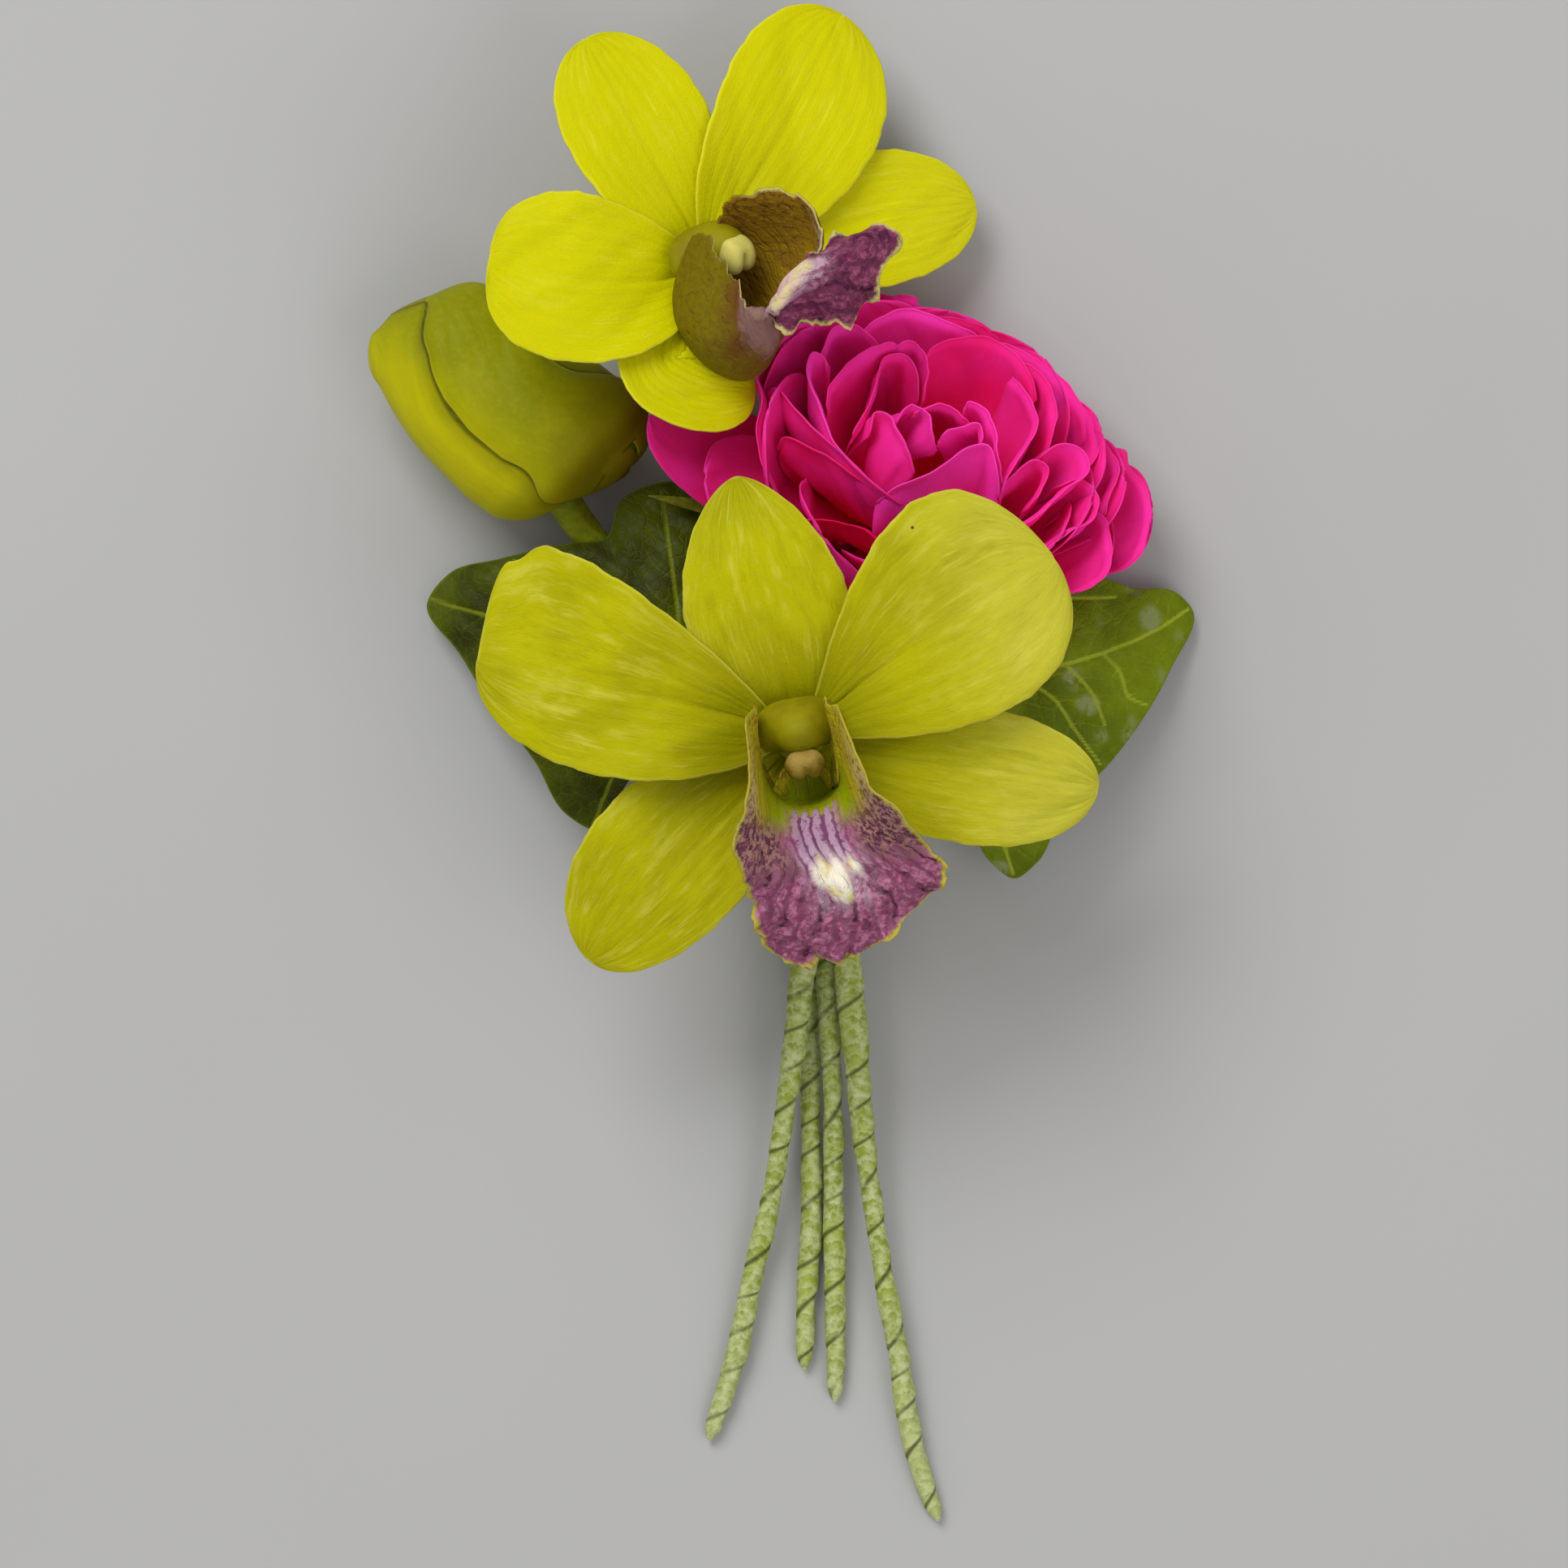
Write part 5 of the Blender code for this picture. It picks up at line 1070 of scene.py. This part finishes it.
def rose_paint(name):
    """Silky petals: crimson low down, painted shade deep in the cup, and on petals given little painted light;
    hot pink on petals given more; a paler rim, partly the petal's own paler edge and partly painted light.
    """
    paint = Paint(name, **{"Subsurface Weight": 0.3, "Subsurface Scale": 0.0012, "Specular IOR Level": 0.06})
    u, v, edge, painted_light = (paint.place(n) for n in ("along", "across", "edge", "painted_light"))
    spot = paint.object_place()
    clouds = paint.noise(spot, 160.0, 2.0)
    veins = paint.noise(paint.vector(v * 30.0, u * 3.0, painted_light * 9.0), 1.0, 3.0, 0.6)
    # Painted light of each petal, varied by random clouds
    light = painted_light + clouds * 0.5 - 0.25
    low = paint.mix(light.rise(-0.2, 0.7), tint("c00014"), tint("ea004c"))
    high = paint.mix(light.rise(-0.1, 0.9), tint("e0004a"), tint("ff38b4"))
    # Crimson low down is painted shade deep in the cup
    colour = paint.mix(u.rise(0.3, 0.85), low, high)
    colour = paint.mix(veins.rise(0.5, 0.8) * 0.12, colour, tint("c00048"))
    # Paler rim: a little of it everywhere, and more with more painted light
    colour = paint.mix(edge.rise(0.2, 0.05) * (light * 0.12 + 0.04), colour, tint("fa60a8"))
    return paint.finish(colour, clouds * 0.1 + 0.5, veins * 0.6 + paint.noise(spot, 3000.0, 1.0) * 0.3, 0.05)


# Ivy

# Each outline is a closed loop of X and Y round the point where the stalk meets the blade
LEFT_LEAF_OUTLINE = [
    (-40.4, 19.0), (-37.8, 22.4), (-32.0, 24.0), (-24.0, 25.7), (-20.0, 26.3), (-18.4, 30.4), (-15.6, 32.1),
    (-10.6, 32.4), (-7.6, 27.0), (-5.4, 19.5), (-2.6, 12.5), (-4.6, 6.0), (-11.0, 3.2), (-17.0, -0.6),
    (-21.4, -6.6), (-24.6, -4.8), (-28.0, 1.0), (-32.8, 7.2), (-36.6, 13.2),
]
RIGHT_LEAF_OUTLINE = [
    (46.2, 18.4), (44.4, 20.2), (39.6, 20.7), (34.6, 22.2), (29.6, 23.0), (26.0, 20.5), (20.0, 18.2),
    (13.6, 14.2), (11.6, 8.0), (14.4, 1.6), (20.4, -5.4), (23.4, -10.4), (26.0, -12.1), (28.4, -10.4),
    (31.6, -4.0), (36.4, 0.6), (40.4, 5.8), (43.6, 11.4),
]
# Outline, junction of blade and stalk, fall towards the tips, the stalk's route down into the binding, and
# the main veins
LEAVES = {
    "left": (
        LEFT_LEAF_OUTLINE, (-11.3, 12.2, 11.2), 0.0100,
        [(-11.3, 12.2, 11.0), (-8.2, 6.8, 10.6), (-4.2, -1.0, 9.0), (-0.6, -6.6, 7.0), (0.7, -10.0, 6.5),
         (0.75, -14.5, 6.4)],
        [[(-11.3, 12.2), (-23.0, 15.6), (-34.2, 17.7), (-40.0, 19.5)], [(-11.3, 12.2), (-12.4, 21.5), (-13.8, 31.6)],
         [(-11.3, 12.2), (-17.4, 3.4), (-21.5, -6.0)], [(-11.3, 12.2), (-6.4, 11.6), (-3.4, 11.0)],
         [(-23.0, 15.6), (-28.0, 20.6), (-30.4, 24.0)], [(-20.0, 14.6), (-26.4, 8.0), (-29.6, 2.8)]]),
    "right": (
        RIGHT_LEAF_OUTLINE, (17.9, 8.3, 12.0), 0.0115,
        [(17.9, 8.3, 11.8), (14.0, 3.6, 11.4), (11.2, -2.4, 8.6), (9.2, -7.4, 5.8), (8.7, -11.0, 5.3),
         (8.7, -14.5, 5.3)],
        [[(17.9, 8.3), (28.2, 11.1), (37.1, 13.7), (42.4, 16.1), (45.8, 18.4)], [(17.9, 8.3), (24.0, 15.6), (29.6, 22.6)],
         [(17.9, 8.3), (22.6, -1.6), (25.8, -11.6)], [(17.9, 8.3), (15.4, 11.2), (13.4, 13.6)],
         [(26.4, 10.6), (30.4, 8.0), (32.8, 4.5), (35.6, 0.8)], [(31.6, 12.0), (34.6, 8.8), (36.1, 5.2)],
         [(35.9, 13.2), (37.8, 11.2), (38.8, 8.4), (41.0, 7.4)], [(24.6, 16.4), (28.6, 18.7), (37.4, 19.6)]]),
}
LEAF_THICKNESS = 0.7
LEAF_RINGS, LEAF_SPOKES = 84, 300


def distance_to_line(points, start, end):
    """Distance of the points from the straight line between start and end, and the share along it."""
    line = end - start
    share = np.clip(((points - start) @ line) / (line @ line), 0, 1)
    return np.linalg.norm(points - (start + share[..., None] * line), axis=-1), share


def vein_field(plan, veins, seed):
    """How strongly each point of a leaf lies on a vein: the main veins, and side veins that branch off them."""
    draw = np.random.RandomState(seed)
    field = np.zeros(plan.shape[:2])
    for k, vein in enumerate(veins):
        stations = chord_stations(vein)
        length = stations[-1]
        first, last = (0.34, 0.22) if k < 4 else (0.26, 0.2)
        line = smooth(stations, vein, np.linspace(0, length, 9))
        for j in range(8):
            distance, share = distance_to_line(plan, line[j], line[j + 1])
            field = np.maximum(field, hill(distance, 0, first + (last - first) * (j + share) / 8))
        count = int(length / (3.6 if k < 4 else 2.8))
        for j in range(count):
            place = smooth(stations, vein, np.array([length * (j + 0.7) / (count + 0.6)]))[0]
            ahead = unit(smooth(stations, vein, np.array([length * (j + 0.9) / (count + 0.6)]))[0] - place)
            for way in (-1, 1):
                angle = way * np.radians(52 + draw.uniform(-8, 8))
                turned = np.array([
                    ahead[0] * np.cos(angle) - ahead[1] * np.sin(angle),
                    ahead[0] * np.sin(angle) + ahead[1] * np.cos(angle)])
                reach = length * (0.26 if k < 4 else 0.34) * (1 - 0.5 * j / count)
                bent = place + turned * reach * 0.55
                end = bent + (turned * 0.75 + ahead * 0.45) * reach * 0.45
                for start, stop in ((place, bent), (bent, end)):
                    distance, share = distance_to_line(plan, start, stop)
                    field = np.maximum(field, 0.45 * hill(distance, 0, 0.18))
    return field


def leaf(side, paints):
    """An ivy leaf: rings of points out to the lobed outline, sunk along the veins and bulged between them."""
    outline, junction, fall, stalk_route, main_veins = LEAVES[side]
    loop = np.array(outline + outline[:1], float)
    stations = chord_stations(loop)
    # The loop is run three times so that the curve closes as smoothly as it runs
    closed = np.concatenate([loop[:-1], loop[:-1], loop])
    turns = np.concatenate([stations[:-1] - stations[-1], stations[:-1], stations + stations[-1]])
    rim = smooth(turns, closed, np.linspace(0, stations[-1], LEAF_SPOKES, endpoint=False))
    middle = np.array(junction[:2])
    shares = np.linspace(1, 0, LEAF_RINGS, endpoint=False)[::-1] ** 0.8
    plan = middle + shares[:, None, None] * (rim - middle)
    veins = vein_field(plan, main_veins, 5)
    distance = (plan[..., 0] - middle[0]) ** 2 + (plan[..., 1] - middle[1]) ** 2
    quilt = 0.24 * np.sin(1.15 * plan[..., 0] + 0.6 * plan[..., 1]) * np.sin(1.05 * plan[..., 1])
    height = junction[2] - fall * distance - 0.16 * veins + quilt * ease(shares, 1.0, 0.85)[:, None]
    height = height + 0.35 * ripple(np.linspace(0, 1, LEAF_SPOKES), 9, 9.0) * ease(shares, 0.7, 1.0)[:, None]
    half = 0.08 + 0.2 * ease(shares, 1.0, 0.9)[:, None] + 0 * veins
    top = np.concatenate([plan, (height + half)[..., None]], -1)
    bottom = np.concatenate([plan, (height - half)[..., None]], -1)
    grid = np.concatenate([top[::1], bottom[::-1]])
    both = {"vein": np.concatenate([veins, veins[::-1]])}
    rim_share = np.concatenate([shares, shares[::-1]])[:, None] + 0 * both["vein"]
    both["rim"] = rim_share
    both["front"] = np.concatenate([np.ones_like(veins), np.zeros_like(veins)])
    piece(f"ivy_blade_{side}", [closed_tube(grid, both)], paints["leaf"][side], "ivy_green", f"ivy_leaf_{side}")
    path = route(stalk_route, 0, chord_stations(stalk_route)[-1], 48)
    grid = rings(path, np.full(48, 0.6), 20, SIDEWAYS)
    shell = closed_tube(grid, grid_places(grid))
    piece(f"ivy_stalk_{side}", [shell], paints["leaf_stalk"], "ivy_green", f"ivy_leaf_{side}")


def leaf_paint(name, body, deep, vein, painted_gloss):
    """Ivy: green between pale veins with a fine net of smaller ones, greyish patches of painted gloss, and a paler
    back.
    """
    paint = Paint(name, **{"Specular IOR Level": 0.1})
    veins, rim, front = (paint.place(n) for n in ("vein", "rim", "front"))
    spot = paint.object_place()
    clouds = paint.noise(spot, 120.0, 3.0)
    mottle = paint.noise(spot, 900.0, 3.0, 0.6)
    net = paint.cells(spot, 900.0, "DISTANCE_TO_EDGE").rise(0.12, 0.02)
    colour = paint.mix(clouds.rise(0.38, 0.66), body, deep)
    colour = paint.mix(mottle.rise(0.4, 0.7) * 0.25, colour, deep)
    # Patches of painted gloss: greyish reflections painted into the colour
    painted_gloss_patches = paint.cells(spot, 210.0, "F1") + clouds * 0.5
    colour = paint.mix(painted_gloss_patches.rise(0.62, 0.42) * mottle.rise(0.3, 0.55) * 0.6, colour, painted_gloss)
    colour = paint.mix(net * 0.07, colour, vein)
    colour = paint.mix(veins.rise(0.2, 0.85) * 0.8, colour, vein)
    colour = paint.mix(rim.rise(0.985, 1.0) * 0.5, colour, tint("6a7a10"))
    colour = paint.mix(front, tint("66782c"), colour)
    height = net * -0.35 + clouds * 0.3 + mottle * 0.5
    return paint.finish(colour, clouds * 0.2 + 0.34, height, 0.12)


# Stems and tape

STEM_RADII = ((0.0, 0.30), (1.2, 0.85), (3.0, 1.0), (6.0, 1.1), (38.0, 1.12), (56.0, 1.5), (140.0, 1.5))
TAPE_PITCH, TAPE_STEP = 5.2, 0.13
BUD_ROUTE = [
    (-8.5, -75.8, 0.95), (-5.4, -66.0, 1.6), (-3.5, -57.0, 2.4), (-1.7, -49.3, 3.4), (-0.2, -40.4, 4.8),
    (1.1, -31.4, 6.4), (2.1, -22.5, 8.0), (2.8, -16.2, 8.7), (2.8, -9.2, 8.65), (-0.5, -1.0, 7.2),
    (-7.5, 8.5, 6.0), (-14.2, 17.0, 5.4), (-19.0, 23.0, 5.2), (-22.6, 27.2, 6.0), (-25.8, 31.8, 8.2),
]
BACK_ORCHID_ROUTE = [
    (2.3, -67.7, 0.95), (2.5, -60.0, 1.2), (3.1, -51.6, 1.5), (3.1, -44.8, 1.7), (3.0, -38.2, 2.0),
    (2.9, -29.2, 2.6), (2.8, -22.5, 3.0), (2.75, -16.2, 3.3), (2.75, -9.2, 3.4), (1.0, 4.0, 3.4),
    (-3.0, 20.0, 3.6), (-7.0, 34.0, 4.2), (-8.8, 42.0, 5.2), (-9.6, 49.0, 8.0), (-9.2, 54.6, 15.5),
]
ROSE_ROUTE = [
    (5.8, -71.4, 0.95), (5.85, -67.2, 1.2), (5.8, -58.3, 1.9), (5.6, -49.3, 2.7), (5.6, -40.4, 3.6),
    (5.3, -31.4, 4.6), (4.9, -22.5, 5.5), (4.8, -16.2, 5.95), (4.8, -9.2, 6.0), (6.6, 1.0, 5.6),
    (9.6, 11.0, 5.0), (12.0, 18.5, 5.0), (12.7, 22.5, 6.0), (13.0, 25.6, 7.6),
]
FRONT_ORCHID_ROUTE = [
    (17.5, -84.9, 0.95), (15.5, -79.3, 1.4), (13.9, -72.6, 2.0), (12.9, -65.4, 2.6), (11.5, -58.3, 3.2),
    (10.1, -49.3, 4.1), (8.9, -40.4, 5.3), (8.1, -31.4, 6.8), (7.2, -22.5, 8.1), (6.6, -16.2, 8.7),
    (6.5, -9.2, 8.65), (6.2, -5.6, 9.5), (4.8, -1.0, 13.6), (2.9, 2.0, 19.5), (1.9, 3.4, 25.5),
    (1.7, 4.0, 29.5),
]
# Name of the stem, its route, and the length of flower stalk left bare beyond the tape
STEMS = {
    "bud": (BUD_ROUTE, 17.0),
    "back_orchid": (BACK_ORCHID_ROUTE, 16.0),
    "rose": (ROSE_ROUTE, 5.0),
    "front_orchid": (FRONT_ORCHID_ROUTE, 9.0),
}
BINDING_X, BINDING_HEIGHT = 4.75, 5.885
BINDING_Y = (-16.2, -9.2)
BINDING_OUTER, BINDING_INNER = 6.1, 5.25


def tape_end(flower):
    """Running length of a stem's route at which its tape stops."""
    points, bare = STEMS[flower]
    return chord_stations(points)[-1] - bare


def taped(turns, seed):
    """Radius gained at a number of turns of tape: each turn steps up at its edge and thins away behind it."""
    phase = turns - np.floor(turns)
    step = ease(phase, 0.0, 0.05) * (1 - phase)
    return TAPE_STEP * step + 0.05 * ripple(turns * 0.31, seed, 1.0)


def stem(flower, seed, material):
    """A stem wrapped in tape on the slant, a little uneven, drawn to a point at its cut end."""
    points, _ = STEMS[flower]
    end = tape_end(flower)
    lengths = end * np.linspace(0, 1, 620)
    path = route(points, 0.0, end, len(lengths))
    radii = smooth(*zip(*STEM_RADII), lengths)[:, None] - 0.06
    sides = 36
    turn = np.linspace(0, 1, sides, endpoint=False)[None, :]
    drift = 0.35 * ripple(lengths / 30.0, seed, 1.0)[:, None]
    turns = lengths[:, None] / TAPE_PITCH + turn + drift
    lumps = 0.06 * ripple(lengths / 11.0, seed + 1, 1.0)[:, None] * ease(lengths, 0, 6)[:, None]
    facets = 0.035 * np.cos(2 * np.pi * (3 * turn + turns))
    radii = radii + (taped(turns, seed) + lumps + facets) * ease(lengths, -0.5, 3.0)[:, None]
    grid = rings(path, radii, sides, SIDEWAYS)
    grid[..., 2] = np.maximum(grid[..., 2], 0.02)
    seam = np.abs(turns - np.round(turns))
    # The tape's own places: how far along it and how far across it
    places = {"seam": seam, "tape": lengths[:, None] + 0 * turn, "around": np.abs(turn - 0.5) + 0 * lengths[:, None]}
    piece(f"taped_stem_{flower}", [closed_tube(grid, places)], material, "stem_tape", f"stem_{flower}")


def binding(material):
    """The band of tape round the four stems: slanted turns, flat where it lies on the surface."""
    sides, rows = 160, 60
    turn = np.linspace(0, 1, sides, endpoint=False)[None, :]
    y = np.linspace(*BINDING_Y, rows)[:, None]
    turns = (y - BINDING_Y[0]) / 3.4 + turn
    ends = np.sqrt(np.clip(np.minimum(y - BINDING_Y[0], BINDING_Y[1] - y) / 0.4, 0, 1))
    outer = BINDING_OUTER - 0.25 + 0.1 * ends + taped(turns, 4)
    inner = np.full((rows, sides), BINDING_INNER)
    radii = np.concatenate([outer, inner[::-1], outer[:1]])
    depths = np.concatenate([y, y[::-1], y[:1]])
    angle = 2 * np.pi * turn
    height = np.maximum(BINDING_HEIGHT + radii * np.sin(angle), 0.0)
    grid = np.stack([BINDING_X + radii * np.cos(angle), depths + 0 * angle, height], -1)[:-1]
    count = len(grid)
    index = np.arange(count * sides).reshape(count, sides)
    down, right = np.roll(index, -1, axis=0), np.roll(index, -1, axis=1)
    faces = np.stack([index, down, np.roll(down, -1, axis=1), right], -1).reshape(-1, 4)
    wrapped = np.concatenate([turns, turns[::-1]])
    places = {"seam": np.abs(wrapped - np.round(wrapped)).ravel(), "tape": (depths[:-1] + 0 * angle).ravel()}
    places["around"] = np.tile(np.abs(turn - 0.5), (count, 1)).ravel()
    points = grid.reshape(-1, 3)
    piece("binding_band", [(points, outward(points, [faces]), places)], material, "stem_tape", "binding_tape")


def tape_paint(name):
    """Waxed crepe paper: mottled pale and yellow-green, fine slanted creases, dark in the seams."""
    paint = Paint(name, **{"Specular IOR Level": 0.3})
    seam, tape, around = (paint.place(n) for n in ("seam", "tape", "around"))
    spot = paint.object_place()
    mottle = paint.noise(spot, 900.0, 4.0, 0.65)
    clouds = paint.noise(spot, 260.0, 2.0)
    crepe = (tape * 4.2 + around * 16.0 + mottle * 9.0).wave()
    colour = paint.mix(mottle.rise(0.36, 0.64), tint("7e8c2a"), tint("b2ba80"))
    colour = paint.mix(clouds.rise(0.42, 0.7) * 0.6, colour, tint("93a02c"))
    colour = paint.mix(crepe.rise(0.7, 1.0) * 0.3, colour, tint("c4c998"))
    y = paint.node("ShaderNodeSeparateXYZ", {}, [spot], 1)
    colour = paint.mix((y * -1.0).rise(0.05, 0.085) * 0.35, colour, tint("c4c998"))
    colour = paint.mix(seam.rise(0.10, 0.0) * clouds.rise(0.2, 0.55) * 0.9, colour, tint("383e10"))
    return paint.finish(colour, mottle * 0.15 + 0.6, crepe * 0.45 + mottle * 0.7, 0.16)


def wire_paint(name):
    """Green lacquered steel wire with fine drawn lines."""
    paint = Paint(name, Metallic=0.6)
    spot = paint.object_place()
    lines = paint.noise(spot, 3000.0, 2.0)
    return paint.finish(paint.mix(lines, tint("1f3a22"), tint("35553a")), lines * 0.2 + 0.3, lines, 0.02)


# Stage, light and camera

def area_light(name, place, aim, size, power):
    """A square soft light at a place, turned towards a point; both in metres."""
    data = bpy.data.lights.new(name, "AREA")
    data.size = size
    data.energy = power
    obj = bpy.data.objects.new(name, data)
    obj.location = place
    obj.rotation_euler = (Vector(aim) - Vector(place)).to_track_quat("-Z", "Y").to_euler()
    bpy.context.scene.collection.objects.link(obj)


def stage():
    """A plain pale floor, soft light all round and the camera straight above, as the photograph looks."""
    mesh = bpy.data.meshes.new("floor")
    reach = 2.5
    corners = [(-reach, -reach, 0.0), (reach, -reach, 0.0), (reach, reach, 0.0), (-reach, reach, 0.0)]
    mesh.from_pydata(corners, [], [(0, 1, 2, 3)])
    floor = bpy.data.objects.new("floor", mesh)
    bpy.context.scene.collection.objects.link(floor)
    paint = Paint("floor", **{"Specular IOR Level": 0.2})
    grain = paint.noise(paint.object_place(), 9.0, 3.0)
    mesh.materials.append(paint.finish(paint.mix(grain, tint("a8a8a8"), tint("b0b0b0")), grain * 0.1 + 0.7))

    world = bpy.data.worlds.new("studio")
    world.use_nodes = True
    world.node_tree.nodes["Background"].inputs[0].default_value = (1.0, 0.985, 0.96, 1)
    world.node_tree.nodes["Background"].inputs[1].default_value = 0.55
    bpy.context.scene.world = world
    area_light("key", (-0.45, 0.75, 1.0), (0, 0.01, 0.02), 0.7, 11.0)
    area_light("fill", (0.6, -0.5, 1.1), (0, 0.01, 0.02), 0.8, 4.0)

    middle = (np.array([*PICTURE_MIDDLE, PICTURE_PLANE]) - LAYOUT_CENTRE) * MM
    camera = bpy.data.cameras.new("camera")
    camera.lens = LENS
    camera.sensor_width = SENSOR
    obj = bpy.data.objects.new("camera", camera)
    obj.location = middle + np.array([0, 0, PICTURE_WIDTH * MM * LENS / SENSOR])
    bpy.context.scene.collection.objects.link(obj)
    bpy.context.scene.camera = obj
    bpy.context.scene.view_settings.view_transform = "Standard"


def main():
    stage()
    stalk = plain_plant_paint("stalk", tint("8b9310"), tint("6f7c12"))
    orchid_paints = {
        "stalk": stalk,
        "column": plain_plant_paint("column", tint("8e8804"), tint("7c7403"), 220.0, 0.5),
        "anther": plain_plant_paint("anther", tint("a08840"), tint("705c10"), 420.0, 0.5),
    }
    # Each lip's eighth tint, for its throat, is painted shade of the lip's inner wall
    front = dict(
        orchid_paints,
        tepal=tepal_paint("front_tepal", tint("b0ad02"), tint("868202"), tint("cfca50"), 0.4),
        lip=lip_paint("front_lip", tint("863e60"), tint("bc7898"), tint("4c1c34"), tint("b5ac34"), tint("bdb01c"),
                      tint("86542e"), tint("8f8420"), tint("8e9a04"), tint("f2ead8"), 1.0))
    back = dict(
        orchid_paints,
        anther=plain_plant_paint("pale_anther", tint("d8d070"), tint("c4ba58"), 300.0, 0.4),
        # Its deep tint is lighter than its body: painted light at the tepal bases
        tepal=tepal_paint("back_tepal", tint("c6c300"), tint("cecb00"), tint("dcd840"), 0.15),
        lip=lip_paint("back_lip", tint("682348"), tint("98526e"), tint("40102c"), tint("c8bc70"), tint("947418"),
                      tint("64341e"), tint("786a08"), tint("a08018"), tint("dcb8b0"), 0.8))
    tape = tape_paint("crepe_tape")
    for seed, flower in enumerate(STEMS):
        stem(flower, 20 + seed, tape)
    binding(tape)
    lip_frame = flower_frame(FRONT_LIP["centre"], FRONT_LIP["normal"], FRONT_LIP["towards"])
    shell = lip(lip_frame, FRONT_LIP, 1.0, 47)
    orchid("front_orchid", FRONT_CENTRE, FRONT_NORMAL, FRONT_TEPALS, FRONT_LIP, shell, FRONT_ANTHER, 40, front)
    shell = sectioned_lip(BACK_LIP_SECTIONS, 1.1, 67)
    orchid("back_orchid", BACK_CENTRE, BACK_NORMAL, BACK_TEPALS, BACK_LIP, shell, BACK_ANTHER, 60, back)
    bud({"bud": plain_plant_paint("bud_heart", tint("8c9606"), tint("7a8402")), "bud_sepal": bud_paint("bud_sepal"),
         "stalk": stalk})
    rose({"rose": rose_paint("rose_petal"), "calyx": plain_plant_paint("calyx", tint("8a8f1c"), tint("5f6c1a"))})
    # The left leaf's body and deep tints are darker: partly its own darker green, partly painted shade, as its
    # middle lies in shade. The last tint of each leaf is its painted gloss.
    leaves = {
        "left": leaf_paint("ivy_left", tint("485200"), tint("2c3000"), tint("747e14"), tint("4e5614")),
        "right": leaf_paint("ivy_right", tint("6e7e04"), tint("566600"), tint("9eaa2c"), tint("90986c")),
    }
    paints = {"leaf": leaves, "leaf_stalk": plain_plant_paint("leaf_stalk", tint("5c7a20"), tint("48621a"))}
    for side in LEAVES:
        leaf(side, paints)
    wire = wire_paint("lacquered_wire")
    for flower in STEMS:
        node = frame["nodes"][f"wire_{flower}"]
        for place in node.material_slots:
            place.material = wire


main()
